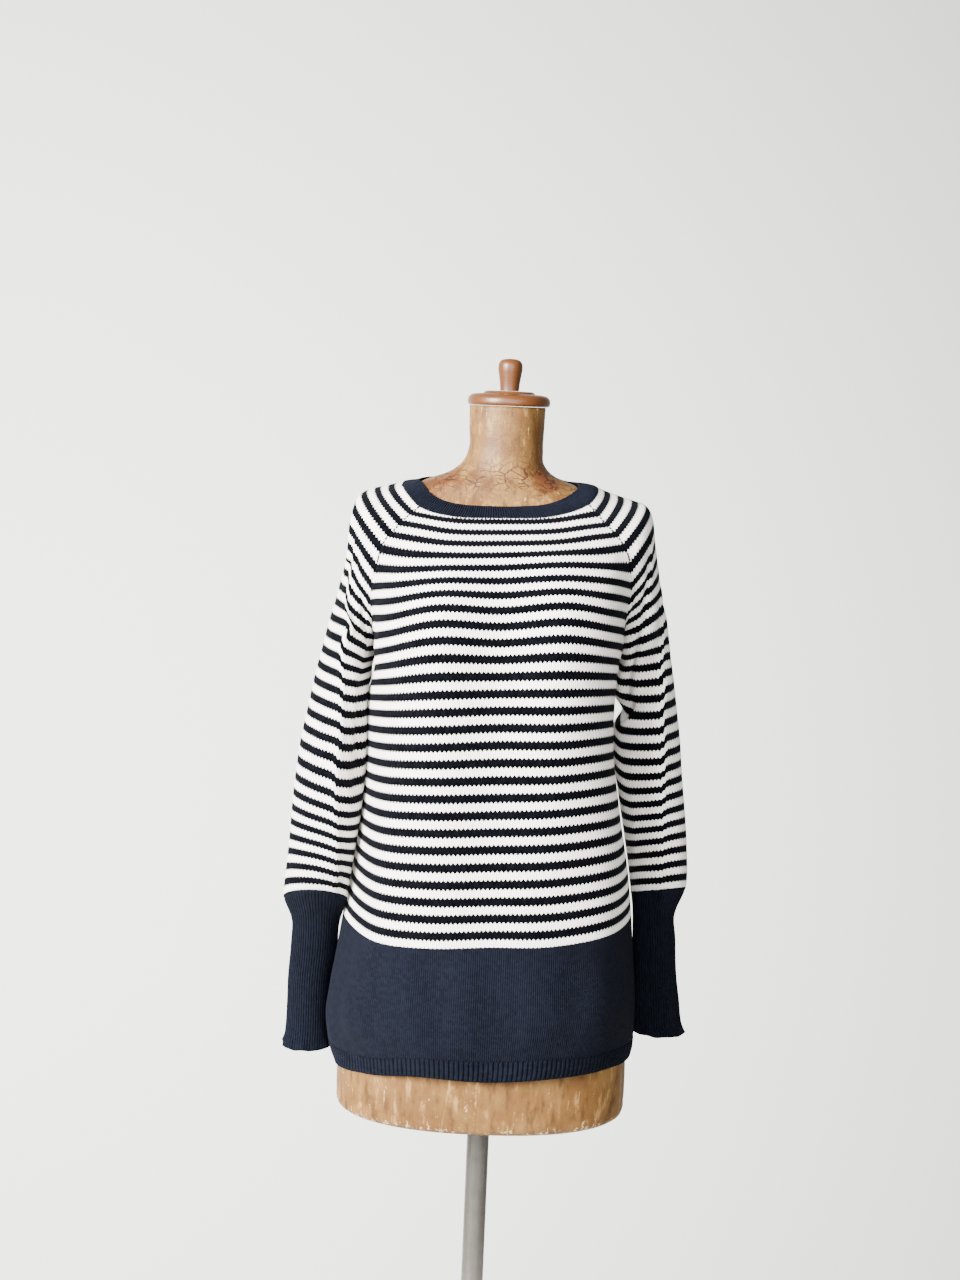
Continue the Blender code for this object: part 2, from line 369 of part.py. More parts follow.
def back_row(row):
    """From the wearer's left edge to the right edge, so that the rings run one way round."""
    yoke = row <= UNDERARM_ROW
    left = back_seam(RAGLAN_LEFT, BACK_RAGLAN_LEFT, row) if yoke else line(SIDE_LEFT, row)
    right = back_seam(RAGLAN_RIGHT, BACK_RAGLAN_RIGHT, row) if yoke else line(SIDE_RIGHT, row)
    points = [left, line(BLADE_LEFT, row), line(CENTRE_BACK, row), line(BLADE_RIGHT, row), right]
    return split_even(points, 2, BACK_SIDE, *beyond(points, row, line(CORNER_LEFT, row), line(CORNER_RIGHT, row)))


def round_row(top, low, across, angle, count):
    """An arc from -angle to angle round a sleeve: top is its outer point, low the middle of its chord."""
    reach = (top - low) / (1 - math.cos(angle))
    middle = top - reach
    psi = np.linspace(-angle, angle, 161)[:, None]
    curve = middle + reach * np.cos(psi) + across * np.sin(psi)
    return np.concatenate([even(curve[:81], count), even(curve[80:], count)[1:]])


def sleeve_row(side, row):
    """One row of a sleeve, from its front edge over its outer line to its back edge."""
    outer = OUTER_RIGHT if side < 0 else OUTER_LEFT
    top = line(outer, row)
    if row >= UNDERARM_ROW:
        low = line(INNER_RIGHT if side < 0 else INNER_LEFT, row)
        depth = line(SLEEVE_DEPTH, row)[0]
        lift = line(SLEEVE_LIFT, row)[0 if side < 0 else 1]
        return round_row(top, low, np.array([0, depth, -lift]), math.pi, SLEEVE_SIDE)
    seam = RAGLAN_RIGHT if side < 0 else RAGLAN_LEFT
    front = line(seam, row)
    back = back_seam(seam, BACK_RAGLAN_RIGHT if side < 0 else BACK_RAGLAN_LEFT, row)
    angle = math.radians(line(YOKE_ROUND, row)[0])
    return round_row(top, (front + back) / 2, (back - front) / (2 * math.sin(angle)), angle, SLEEVE_SIDE)


def cuff_row(side, down):
    at = line(CUFF_RIGHT if side < 0 else CUFF_LEFT, down)
    return round_row(at[0:3], at[3:6], np.array([0, at[6], -at[7]]), math.pi, SLEEVE_SIDE)


def ring_at(ring, angles, centre):
    """A closed ring's points at these angles round the centre."""
    curve = through(list(ring) + [ring[0]], ring[-1], ring[1], 24)
    a = np.unwrap(np.arctan2(curve[:, 1] - centre[1], curve[:, 0] - centre[0]))
    want = np.array(angles)
    want = a[0] + np.mod(want - a[0], 2 * math.pi)
    return np.stack([np.interp(want, a, curve[:, k]) for k in range(3)], axis=1)


def grids():
    """Every sewn piece's middle skin as a grid of rows and columns; normals are row x column, facing out."""
    out = {}
    body_rows = YOKE_ROWS + BODY_ROWS
    sleeve_rows = YOKE_ROWS + SLEEVE_ROWS
    out["front"] = np.array([front_row(r) for r in body_rows])
    out["back"] = np.array([back_row(r) for r in body_rows])
    out["sleeve_right"] = np.array([sleeve_row(-1, r)[::-1] for r in sleeve_rows])
    out["sleeve_left"] = np.array([sleeve_row(1, r) for r in sleeve_rows])
    for side, name, table in ((-1, "cuff_right", CUFF_RIGHT), (1, "cuff_left", CUFF_LEFT)):
        rows = [cuff_row(side, down) for down in CUFF_ROWS + [table[-1][0]]]
        out[name] = np.array([r[::-1] for r in rows] if side < 0 else rows)
    seam = neck_ring(out)
    angles = np.arctan2(seam[:, 1] - 0.0, seam[:, 0] + 0.005)
    edge = ring_at(NECK_EDGE, angles, (-0.005, 0.0))
    out["neckband"] = np.array([edge, seam])
    top = np.concatenate([out["front"][-1], out["back"][-1][1:]])
    low_angles = np.arctan2(top[:, 1], top[:, 0])
    edge = ring_at(HEM_EDGE, low_angles, (0.0, 0.0))
    out["hem_rib"] = np.array([top, edge])
    return out


def neck_ring(out):
    """The neckband seam, once round from the right raglan: front, left sleeve, back, right sleeve."""
    pieces = [out["front"][0], out["sleeve_left"][0][1:], out["back"][0][1:], out["sleeve_right"][0][1:]]
    return np.concatenate(pieces)


class Cloth:
    """All grids welded where they share an edge, to be smoothed and pushed clear as one skin."""

    def __init__(self, pieces):
        self.names = list(pieces)
        self.shapes = {n: pieces[n].shape[:2] for n in self.names}
        every = np.concatenate([pieces[n].reshape(-1, 3) for n in self.names])
        keys = np.round(every / 2e-6).astype(np.int64)
        _, first, index = np.unique(keys, axis=0, return_index=True, return_inverse=True)
        self.points = every[first].copy()
        index = index.reshape(-1)
        self.index = {}
        start = 0
        for n in self.names:
            r, c = self.shapes[n]
            self.index[n] = index[start : start + r * c].reshape(r, c)
            start += r * c
        quads = []
        edges = []
        for n in self.names:
            g = self.index[n]
            quads.append(np.stack([g[:-1, :-1], g[1:, :-1], g[1:, 1:], g[:-1, 1:]], axis=-1).reshape(-1, 4))
            edges.append(np.stack([g[:-1], g[1:]], axis=-1).reshape(-1, 2))
            edges.append(np.stack([g[:, :-1], g[:, 1:]], axis=-1).reshape(-1, 2))
        self.quads = np.concatenate(quads)
        edges = np.unique(np.sort(np.concatenate(edges), axis=1), axis=0)
        edges = edges[edges[:, 0] != edges[:, 1]]
        self.a = np.concatenate([edges[:, 0], edges[:, 1]])
        self.b = np.concatenate([edges[:, 1], edges[:, 0]])
        self.count = np.bincount(self.a, minlength=len(self.points))

    def normals(self):
        p = self.points
        q = self.quads
        n = np.cross(p[q[:, 2]] - p[q[:, 0]], p[q[:, 3]] - p[q[:, 1]])
        out = np.zeros_like(p)
        for k in range(4):
            np.add.at(out, q[:, k], n)
        return out / np.maximum(np.linalg.norm(out, axis=1), 1e-12)[:, None]

    def smooth(self, held, passes, share):
        """Evens the skin along its normals only, so rows stay where they are; a second step gives the size back."""
        for _ in range(passes):
            for amount in (share, -share * 1.04):
                n = self.normals()
                mean = np.zeros_like(self.points)
                np.add.at(mean, self.a, self.points[self.b])
                mean /= self.count[:, None]
                move = ((mean - self.points) * n).sum(axis=1)[:, None] * n * amount
                move[held] = 0
                self.points += move

    def grid(self, name):
        return self.points[self.index[name]]


def fold_heights(piece, grid, rows):
    """How far each point of a piece's grid is moved out by the folds, each a soft ridge or trough."""
    out = np.zeros(grid.shape[:2])
    step = np.linalg.norm(np.diff(grid, axis=1), axis=-1)
    along = np.concatenate([np.zeros((len(grid), 1)), np.cumsum(step, axis=1)], axis=1)
    for name, high, half, path in FOLDS:
        if name != piece:
            continue
        first, last = path[0][0], path[-1][0]
        for i, row in enumerate(rows):
            ends = min(row - first, last - row) / 1.5 + 0.5
            ends = min(max(ends, 0.0), 1.0)
            centre = line(path, row)[0] * along[i, -1]
            away = (along[i] - centre) / (half / 1000)
            out[i] += high / 1000 * ends * ends * (3 - 2 * ends) * np.exp(-away * away)
    return out


def tree_of(points, faces):
    return BVHTree.FromPolygons([Vector(p) for p in points], [tuple(int(i) for i in f) for f in faces])


def push_clear(points, chosen, tree, need, reach=0.012):
    """Moves chosen points out until each is need clear of the tree's skin; those beyond reach stay put."""
    for i in chosen:
        at, normal, _, away = tree.find_nearest(Vector(points[i]))
        gap = float((Vector(points[i]) - at).dot(normal))
        if gap < need and away < reach:
            points[i] += np.array(normal) * (need - gap)


def push_between(points, groups, tree, need):
    """The same for the middles of edges and faces, moving all their points, so that no flat cuts the skin."""
    for group in groups:
        middle = Vector(points[group].mean(axis=0))
        at, normal, _, away = tree.find_nearest(middle)
        gap = float((middle - at).dot(normal))
        if gap < need and away < 0.012:
            points[group] += np.array(normal) * (need - gap)


def form_section(ring, sides):
    z, half, front, back, square, middle = ring
    out = []
    for k in range(sides):
        a = 2 * math.pi * k / sides
        c, s = math.cos(a), math.sin(a)
        x = half * math.copysign(abs(c) ** (2 / square), c)
        y = (back if s > 0 else front) * math.copysign(abs(s) ** (2 / square), s)
        out.append((middle + x, y, z))
    out = np.array(out + out[:1])
    return even(out, sides)[:-1]


def stacked(rings):
    """A closed body from rings of one length, its ends fanned shut."""
    count = len(rings[0])
    points = np.concatenate([np.array(r) for r in rings])
    faces = []
    for i in range(len(rings) - 1):
        for k in range(count):
            j = (k + 1) % count
            a, b = i * count + k, i * count + j
            faces.append((a, b, b + count, a + count))
    points = list(points)
    points.append(np.mean(rings[0], axis=0))
    points.append(np.mean(rings[-1], axis=0))
    low, high = len(points) - 2, len(points) - 1
    last = (len(rings) - 1) * count
    for k in range(count):
        j = (k + 1) % count
        faces.append((low, j, k))
        faces.append((high, last + k, last + j))
    return np.array(points), faces


def form_solid():
    """The torso with a blind bore in its underside for the pole."""
    bore = [(BORE_RADIUS * math.cos(2 * math.pi * k / FORM_SIDES), BORE_RADIUS * math.sin(2 * math.pi * k / FORM_SIDES))
            for k in range(FORM_SIDES)]
    rings = [np.array([(x, y, 0.6900) for x, y in bore]), np.array([(x, y, FORM_RINGS[0][0]) for x, y in bore])]
    rings += [form_section(r, FORM_SIDES) for r in FORM_RINGS]
    return stacked(rings)


def turned(profile, sides):
    """A body of revolution round the pole's axis, from a profile that starts and ends on it."""
    rings = []
    for r, z in profile[1:-1]:
        rings.append([(r * math.cos(2 * math.pi * k / sides), r * math.sin(2 * math.pi * k / sides), z)
                      for k in range(sides)])
    points, faces = stacked(rings)
    points[-2] = (0, 0, profile[0][1])
    points[-1] = (0, 0, profile[-1][1])
    return points, faces


def linear(code):
    """An sRGB hex colour as the linear values that the shader takes."""
    out = []
    for k in (1, 3, 5):
        v = int(code[k : k + 2], 16) / 255
        out.append(v / 12.92 if v <= 0.04045 else ((v + 0.055) / 1.055) ** 2.4)
    return (*out, 1.0)


def material(name, colour, roughness, metallic=0.0):
    made = bpy.data.materials.get(name) or bpy.data.materials.new(name)
    made.use_nodes = True
    shader = made.node_tree.nodes["Principled BSDF"]
    shader.inputs["Base Color"].default_value = linear(colour)
    shader.inputs["Roughness"].default_value = roughness
    shader.inputs["Metallic"].default_value = metallic
    return made


def add(name, finish, points, faces):
    mesh = bpy.data.meshes.new(name)
    mesh.from_pydata([tuple(float(v) for v in p) for p in points], [], [tuple(int(i) for i in f) for f in faces])
    mesh.materials.append(finish)
    mesh.shade_smooth()
    mesh.set_sharp_from_angle(angle=math.radians(40))
    ob = bpy.data.objects.new(name, mesh)
    bpy.context.scene.collection.objects.link(ob)
    return ob


def drawn_in(grid):
    """The grid with its four borders drawn in by half a seam gap, so that two sewn pieces don't touch."""
    g = grid.copy()

    def towards(a, b):
        d = b - a
        return d / np.maximum(np.linalg.norm(d, axis=-1), 1e-9)[..., None] * SEAM_HALF

    g[0] += towards(grid[0], grid[1])
    g[-1] += towards(grid[-1], grid[-2])
    g[:, 0] += towards(grid[:, 0], grid[:, 1])
    g[:, -1] += towards(grid[:, -1], grid[:, -2])
    return g


def wall(name, finish, grid, normal, thick):
    """A sewn flat piece: its outer and inner skins and a rim round all four borders."""
    mid = drawn_in(grid)
    rows, cols = mid.shape[:2]
    outer = (mid + normal * thick / 2).reshape(-1, 3)
    inner = (mid - normal * thick / 2).reshape(-1, 3)
    shift = rows * cols
    at = np.arange(shift).reshape(rows, cols)
    faces = []
    for i in range(rows - 1):
        for j in range(cols - 1):
            a, b, c, d = at[i, j], at[i + 1, j], at[i + 1, j + 1], at[i, j + 1]
            faces.append((a, b, c, d))
            faces.append((d + shift, c + shift, b + shift, a + shift))
    border = list(at[0, ::-1]) + list(at[1:, 0]) + list(at[-1, 1:]) + list(at[-2:0:-1, -1])
    for k in range(len(border)):
        a, b = border[k], border[(k + 1) % len(border)]
        faces.append((b, a, a + shift, b + shift))
    return add(name, finish, np.concatenate([outer, inner]), faces)


def round_even(ring, extra, count):
    """A row and its extra columns, sampled at count + 1 even places from its first point to its last."""
    step = np.linalg.norm(np.diff(ring, axis=0), axis=1)
    s = np.concatenate([[0], np.cumsum(step)]) / step.sum()
    want = np.linspace(0, 1, count + 1)
    both = np.concatenate([ring, extra], axis=1)
    return np.stack([np.interp(want, s, both[:, k]) for k in range(both.shape[1])], axis=1)


def zip_rows(faces, a, b, a_at, b_at):
    """Triangles between two rows of different counts, whose points lie at a_at and b_at along them."""
    i = j = 0
    while i < len(a) - 1 or j < len(b) - 1:
        if j == len(b) - 1 or (i < len(a) - 1 and a_at[i + 1] <= b_at[j + 1]):
            faces.append((a[i], b[j], a[i + 1]))
            i += 1
        else:
            faces.append((a[i], b[j], b[j + 1]))
            j += 1


def ribbed(name, finish, grid, normal, ribs, closed=True):
    """A ribbed band: vertical ribs raised on its outer skin, its inside plain. Rows run down; a closed one is a tube."""
    rows, cols = grid.shape[:2]
    g = grid.copy()
    for i, j in ((0, 1), (-1, -2)):
        d = grid[j] - grid[i]
        g[i] += d / np.linalg.norm(d, axis=-1)[:, None] * SEAM_HALF
    if not closed:
        for i, j in ((0, 1), (-1, -2)):
            d = grid[:, j] - grid[:, i]
            g[:, i] += d / np.linalg.norm(d, axis=-1)[:, None] * SEAM_HALF
    fine = 2 * ribs
    outer_at = np.arange(fine + 1) / fine
    step = np.linalg.norm(np.diff(g[0], axis=0), axis=1)
    inner_at = np.concatenate([[0], np.cumsum(step)]) / step.sum()
    points, outer, inner = [], [], []
    for i in range(rows):
        both = round_even(g[i], normal[i], fine)
        n = both[:, 3:] / np.linalg.norm(both[:, 3:], axis=1)[:, None]
        high = np.where(np.arange(fine + 1) % 2 == 0, RIB_HIGH, -RIB_LOW)[:, None]
        outer.append(np.arange(len(points), len(points) + fine + 1))
        points += list(both[:, :3] + n * (RIB_WALL / 2 + high))
    for i in range(rows):
        inner.append(np.arange(len(points), len(points) + cols))
        points += list(g[i] - normal[i] * RIB_WALL / 2)
    faces = []
    for i in range(rows - 1):
        for k in range(fine):
            faces.append((outer[i][k], outer[i + 1][k], outer[i + 1][k + 1], outer[i][k + 1]))
        for k in range(cols - 1):
            faces.append((inner[i][k + 1], inner[i + 1][k + 1], inner[i + 1][k], inner[i][k]))
    top, low = [], []
    zip_rows(top, outer[0], inner[0], outer_at, inner_at)
    zip_rows(low, outer[-1], inner[-1], outer_at, inner_at)
    faces += [(c, b, a) for a, b, c in top]
    faces += low
    if closed:
        same = {int(row[-1]): int(row[0]) for row in outer + inner}
        faces = [tuple(same.get(int(k), int(k)) for k in face) for face in faces]
        used = sorted({k for face in faces for k in face})
        place = {k: n for n, k in enumerate(used)}
        points = [points[k] for k in used]
        faces = [tuple(place[k] for k in face) for face in faces]
    else:
        for i in range(rows - 1):
            faces.append((outer[i + 1][0], outer[i][0], inner[i][0], inner[i + 1][0]))
            faces.append((outer[i][-1], outer[i + 1][-1], inner[i + 1][-1], inner[i][-1]))
    return add(name, finish, points, faces)


def quads_of(g):
    return np.stack([g[:-1, :-1], g[1:, :-1], g[1:, 1:], g[:-1, 1:]], axis=-1).reshape(-1, 4)


def fold_in(cloth):
    """Moves the skin out and in along its folds, inside each piece's borders."""
    normal = cloth.normals()
    body, sleeve = YOKE_ROWS + BODY_ROWS, YOKE_ROWS + SLEEVE_ROWS
    for piece, rows in (("front", body), ("back", body), ("sleeve_right", sleeve), ("sleeve_left", sleeve)):
        turn = -1 if piece == "sleeve_right" else 1
        heights = fold_heights(piece, cloth.grid(piece)[:, ::turn], rows)[:, ::turn]
        inside = cloth.index[piece][:-1, 1:-1]
        cloth.points[inside] += heights[:-1, 1:-1, None] * normal[inside]


def clear_of_form(cloth, tree):
    every = range(len(cloth.points))
    pairs = np.unique(np.sort(np.stack([cloth.a, cloth.b], axis=1), axis=1), axis=0)
    for _ in range(3):
        push_clear(cloth.points, every, tree, FORM_CLEAR)
        push_between(cloth.points, pairs, tree, FORM_CLEAR - 0.0004)
        push_between(cloth.points, cloth.quads, tree, FORM_CLEAR - 0.0004)


def clear_of_body(cloth):
    """The sleeves and cuffs hang clear of the body, from the fold at the underarm down."""
    fold = YOKE_ROWS.index(6.5)
    seam = len(YOKE_ROWS)
    body = [quads_of(cloth.index[piece][fold:]) for piece in ("front", "back")]
    tree = tree_of(cloth.points, np.concatenate(body + [quads_of(cloth.index["hem_rib"])]))
    for piece in ("sleeve_right", "sleeve_left"):
        g = cloth.index[piece]
        free = np.unique(np.concatenate([g[fold + 1 : seam - 1, 1:-1].ravel(), g[seam:].ravel()]))
        for _ in range(3):
            push_clear(cloth.points, free, tree, TUBE_CLEAR)
            push_between(cloth.points, quads_of(g[seam:]), tree, TUBE_CLEAR - 0.0005)
    for piece in ("cuff_right", "cuff_left"):
        g = cloth.index[piece]
        for _ in range(3):
            push_clear(cloth.points, np.unique(g), tree, TUBE_CLEAR)
            push_between(cloth.points, quads_of(g), tree, TUBE_CLEAR - 0.0005)


for old in list(bpy.data.objects):
    bpy.data.objects.remove(old)

knit = material("cotton_knit", "#F3F0E6", 0.9)
navy = material("navy_rib", "#22263A", 0.9)
kraft = material("aged_form", "#B5926A", 0.75)
wood = material("varnished_wood", "#7A4030", 0.4)
steel = material("tarnished_steel", "#8C8A86", 0.45, 0.9)

form_points, form_faces = form_solid()
cloth = Cloth(grids())
held = np.zeros(len(cloth.points), bool)
for piece, edge in (("neckband", 0), ("hem_rib", -1), ("cuff_right", -1), ("cuff_left", -1)):
    held[cloth.index[piece][edge]] = True
cloth.smooth(held, 6, 0.45)
fold_in(cloth)
clear_of_form(cloth, tree_of(form_points, form_faces))
clear_of_body(cloth)

normal = cloth.normals()
for piece in ("front", "back", "sleeve_right", "sleeve_left"):
    wall(piece, knit, cloth.grid(piece), normal[cloth.index[piece]], WALL)
for piece, ribs in (("neckband", NECK_RIBS), ("cuff_right", CUFF_RIBS), ("cuff_left", CUFF_RIBS)):
    ribbed(piece, navy, cloth.grid(piece), normal[cloth.index[piece]], ribs)
hem = cloth.index["hem_rib"]
for piece, part in (("hem_rib_front", hem[:, : 2 * FRONT_SIDE + 1]), ("hem_rib_back", hem[:, 2 * FRONT_SIDE :])):
    ribbed(piece, navy, cloth.points[part], normal[part], HEM_RIBS // 2, closed=False)

add("dress_form", kraft, form_points, form_faces)
add("neck_cap", wood, *turned(NECK_CAP, 26))
add("cap_knob", wood, *turned(CAP_KNOB, 16))
add("pole", steel, *turned(POLE, 24))
add("stand_base", steel, *turned(STAND_BASE, 26))
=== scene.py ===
"""Looks of the striped knit jumper and of the dress form that wears it.

Units are metres in the row frame: Z is up, the pole's axis is X = Y = 0, the jumper's front faces -Y.
"right" is the wearer's right (X < 0). Every knitted surface is worked out from named lines, as in the
solids, only finer. Row numbers count stripe repeats of 12 courses, about 19.8 mm, down from the
neckband seam.
"""

import math
from functools import partial

import bpy
import numpy as np
from mathutils import Matrix, Vector
from mathutils.bvhtree import BVHTree


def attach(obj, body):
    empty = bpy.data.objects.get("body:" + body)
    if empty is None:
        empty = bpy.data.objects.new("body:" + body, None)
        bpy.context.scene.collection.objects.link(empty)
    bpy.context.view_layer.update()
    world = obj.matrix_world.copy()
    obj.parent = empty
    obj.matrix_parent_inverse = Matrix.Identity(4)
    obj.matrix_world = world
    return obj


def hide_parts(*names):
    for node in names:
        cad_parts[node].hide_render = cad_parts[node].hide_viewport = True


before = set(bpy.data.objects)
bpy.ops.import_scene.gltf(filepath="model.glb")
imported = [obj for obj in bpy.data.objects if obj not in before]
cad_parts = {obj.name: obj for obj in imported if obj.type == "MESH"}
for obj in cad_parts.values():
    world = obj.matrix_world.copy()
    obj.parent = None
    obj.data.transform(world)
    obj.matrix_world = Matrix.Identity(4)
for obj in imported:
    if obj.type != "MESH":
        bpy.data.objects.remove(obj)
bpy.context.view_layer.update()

# Knit and seams, in metres.
WALL = 0.0020            # plain knit
RIB_WALL = 0.0022
RIB_RISE = 0.00045       # how far a rib's crest stands above its groove's bottom, on either side of the skin
FORM_CLEAR = 0.0024      # middle of the cloth to the form's skin
TUBE_CLEAR = 0.0028      # middle of a sleeve to the middle of the body
FLAT_LESS = 0.0004       # how much nearer the flat of an edge or face may lie than a point
TUBE_FLAT_LESS = 0.0005
PUSH_REACH = 0.012       # skin that lies deeper than this inside another is on its far side
PUSHES = 3
SMOOTHINGS, SMOOTH_SHARE = 40, 0.45
WALE = 0.00275           # one column of stitches
COURSES = 12             # courses in one stripe repeat
WHITE_SHARE = 0.47       # share of a repeat that is off-white
NAVY_FROM_ROW = 27.47    # where the body's last off-white band ends

# Rows and columns of the worked-out skin.
COURSE_HIGH = 0.00165
FIRST_WHOLE_ROW = 1.1
FRONT_STARTS = [0.0, 0.20, 0.40, 0.40, 0.40, 0.20, 0.0]   # row numbers along the neckband seam
BACK_STARTS = [0.0, 0.10, 0.15, 0.10, 0.0]
BENDS_FROM_ROW = 7.0     # from here to the underarm the rows begin to go round the side
UNDERARM_FOLD_ROW = 6.5
UNDERARM_ROW = 9.75
HEM_SEAM_ROW = 34.34
CUFF_SEAM_ROW = 28.47
YOKE_ROWS = [float(r) for r in np.linspace(0, UNDERARM_ROW, 40)]
BODY_ROWS = YOKE_ROWS + [float(r) for r in np.linspace(UNDERARM_ROW, HEM_SEAM_ROW, 99)[1:]]
SLEEVE_ROWS = YOKE_ROWS + [float(r) for r in np.linspace(UNDERARM_ROW, CUFF_SEAM_ROW, 67)[1:]]
FRONT_SIDE = 32          # columns from the centre front to either edge, before the skin is made finer
BACK_SIDE = 26
SLEEVE_SIDE = 20
BAND_STEPS = 6           # quads down the neckband and the hem
CUFF_LINES = 33
CURVE_STEPS = 14         # pieces of a curve between two of its points, before it is cut evenly
ARC_STEPS = 80
FINER = 2                # each quad of the worked-out skin becomes FINER x FINER

# Bands, form and turned pieces.
HEM_RIBS = 174
NECK_RIBS = 208
CUFF_RIBS = 56
POLE_RADIUS = 0.0135
BORE_RADIUS = 0.0138
SOCKET_TOP = 0.6895      # the form's socket ends here, on the pole's end
NECK_MIDDLE = -0.005     # x of the middle of the neck's opening
FLARE_FROM, DROP_FROM = 0.86, 0.93   # shares of a cuff's length where its edge begins to wave
NECKBAND_CROWN = 0.0010
HEM_CROWN = 0.0006
FORM_FINE_SIDES = 128
FORM_FINE_STEP = 0.0045
TURNED_SHARP = 35        # degrees; a turned edge steeper than this stays sharp

# Looks.
STITCH_SHOWN = 12 / 7    # how much larger than real the stitches are drawn: 7 courses in a repeat
STITCH_SLANT = 1.0       # how many courses a stitch's legs rise from its point to its sides
STITCH_DEEP = 0.00075
STITCH_SHADE = 0.40      # how much painted shade darkens the yarn between the stitches' legs
STITCH_SIZES = {"Spacing": WALE, "Length": 0.0024, "Width": 0.0012, "Height": 0.0008, "Turn": 0.5}
MARK_SIZES = {"Spacing": 0.0026, "Length": 0.0036, "Width": 0.0027, "Height": 0.0018, "Turn": 0.25}
LINK_SIZES = {"Length": 0.0030, "Width": 0.0014, "Height": 0.0009, "Turn": 0.6}
LINK_SPACING = {"neckband": 0.0031, "hem_rib": 0.0034, "cuff_right": 0.0031, "cuff_left": 0.0031}
CREASE_SHARP = 0.0008    # half width of the step in the stripes at a pressed crease
CREASE_BLEND = 0.035     # from the sleeve's front edge, how far in the step takes to grow whole
LEVEL_OUTSIDE = (4.5, 3.0)   # level stripes start at this row and take this many rows to be whole
LEVEL_INSIDE = (6.5, 6.0)
LEVEL_ENDS = (17.5, 10.8)
KNIT_SHEEN = 0.015
KNIT_GLOSS = 0.02
NAVY_STRIPE = ("#010103", "#06070B")
NAVY_BLOCK = ("#06070C", "#0D0F17", "#141721")
NAVY_RIB = ("#05060A", "#0F121B", "#171B27")
MARKED_STRIPES = 5       # fashioning marks show in the first off-white stripes of the raglan
MARK_FROM, MARK_TO = 0.02, 0.46
WHITE_LOW, WHITE_HIGH, WHITE_WARM = "#EEEBE2", "#FCFAF4", "#F5EEE0"
PAPER_PALE, PAPER_TAN, PAPER_BROWN = "#6B4E28", "#583B1B", "#39240F"
PAPER_LIGHT, PAPER_RUBBED = "#8E6D42", "#B29468"
PAPER_STAIN, PAPER_CRACK = "#482713", "#230F06"
WOOD_DARK, WOOD_LIGHT, WOOD_PATCH = "#371D09", "#5C3414", "#44250D"
FLOOR_RADIUS = 0.80

CAMERA_AT = (-0.0223, -2.10, 1.50)
CAMERA_DOWN = math.atan(235 / 1800)
CAMERA_ROLL = math.radians(2.35)
CAMERA_LENS = 36 * 1800 / 1280
WINDOW_AT = (-2.5, -2.5, 2.4)
KEY_POWER = 1480.0
ROOM_AT = (0.5, -3.2, 1.9)
FILL_POWER = 190.0
WALL_WAY = (-0.30, 0.93, -0.22)
WALL_LIGHT = 4.5
ROOM_LIGHT = 0.38

# Kinds of node that every finish uses.
MATH, MIX, NOISE, RANGE = "ShaderNodeMath", "ShaderNodeMix", "ShaderNodeTexNoise", "ShaderNodeMapRange"
COLOURS = {"data_type": "RGBA"}
SMOOTH = {"interpolation_type": "SMOOTHSTEP"}
TIMES, TIMES_PLUS = {"operation": "MULTIPLY"}, {"operation": "MULTIPLY_ADD"}

PANEL_ROWS = (1.5, 3, 4.5, 6, 7.5, 9.75, 12.5, 16.5, 20.5, 24.5, 27.47, 30, 32.5, 34.34)


def in_mm(*rows):
    """A table of a row number and lengths in millimetres, with its lengths in metres."""
    return [(first, *(value / 1000 for value in rest)) for first, *rest in rows]


def panel_line(first, *places):
    """A line down a panel: its first row, then its x, y and z in millimetres there and at PANEL_ROWS."""
    return in_mm(*zip((first, *PANEL_ROWS), *places))


# Front panel: centre, the line over each bust, the corner where the flat front turns to the side.
CENTRE_FRONT = in_mm(
    (0.4, 0, -76, 1374.2), (1.47, 0, -88, 1362.2), (2.47, 0, -99.5, 1351), (3.47, 0, -109.5, 1339),
    (4.47, 0, -118, 1326.2), (5.47, 0, -125.5, 1312.4), (6.47, 0, -132, 1297.5), (7.47, 0, -137, 1281.5),
    (8.47, 0, -140.5, 1264.5), (9.47, 0, -143, 1246.7), (10.47, 0, -144.5, 1228.6),
    (12.47, 0, -145, 1190.9), (15.47, 0, -143.1, 1133), (18.47, 0, -140.5, 1073),
    (21.47, 0, -137.6, 1013.4), (24.47, 0, -135.3, 953), (27.47, 0, -134, 894.7), (30, 0, -135, 846),
    (32.5, 0, -136.5, 797), (33.6, 0, -135, 774), (34.34, 0, -130, 759.2),
)
BUST_RIGHT = panel_line(
    0.4, (-52.7, -58, -63, -66, -68, -69, -69, -68, -67, -67, -68, -69, -71, -73, -71),
    (-73, -85.5, -104, -119.5, -131.5, -143, -151, -150.5, -145, -139.5, -133.5, -130, -131, -132.5,
    -125.5),
    (1373.2, 1360.5, 1342.5, 1322.5, 1303, 1281.5, 1242.5, 1187, 1108.2, 1029.2, 948.5, 889.5, 841, 792.5,
    758.5),
)
BUST_LEFT = panel_line(
    0.4, (46, 55, 62, 66, 69, 71, 72, 72, 71, 71, 72, 72, 73, 74, 72),
    (-73.5, -86, -104, -119.5, -131.5, -143, -151, -150.5, -145, -139.5, -133.5, -130.5, -131.5, -132.5,
    -126),
    (1376.8, 1365.2, 1349, 1331.5, 1311, 1289.5, 1250, 1195, 1116.5, 1038, 957, 897.5, 849, 800.5, 763.5),
)
CORNER_RIGHT = panel_line(
    0.2, (-83, -92, -106, -113, -119, -122.5, -127, -127, -124, -124, -126.5, -129, -136, -144, -138.5),
    (-63, -74.5, -87, -98.5, -103.5, -106, -104, -103, -101.5, -100.5, -98, -95.5, -93.5, -93, -85),
    (1377.2, 1364, 1344.5, 1318, 1292.5, 1265.5, 1223, 1174, 1099, 1021.5, 943.5, 885, 837, 789, 743),
)
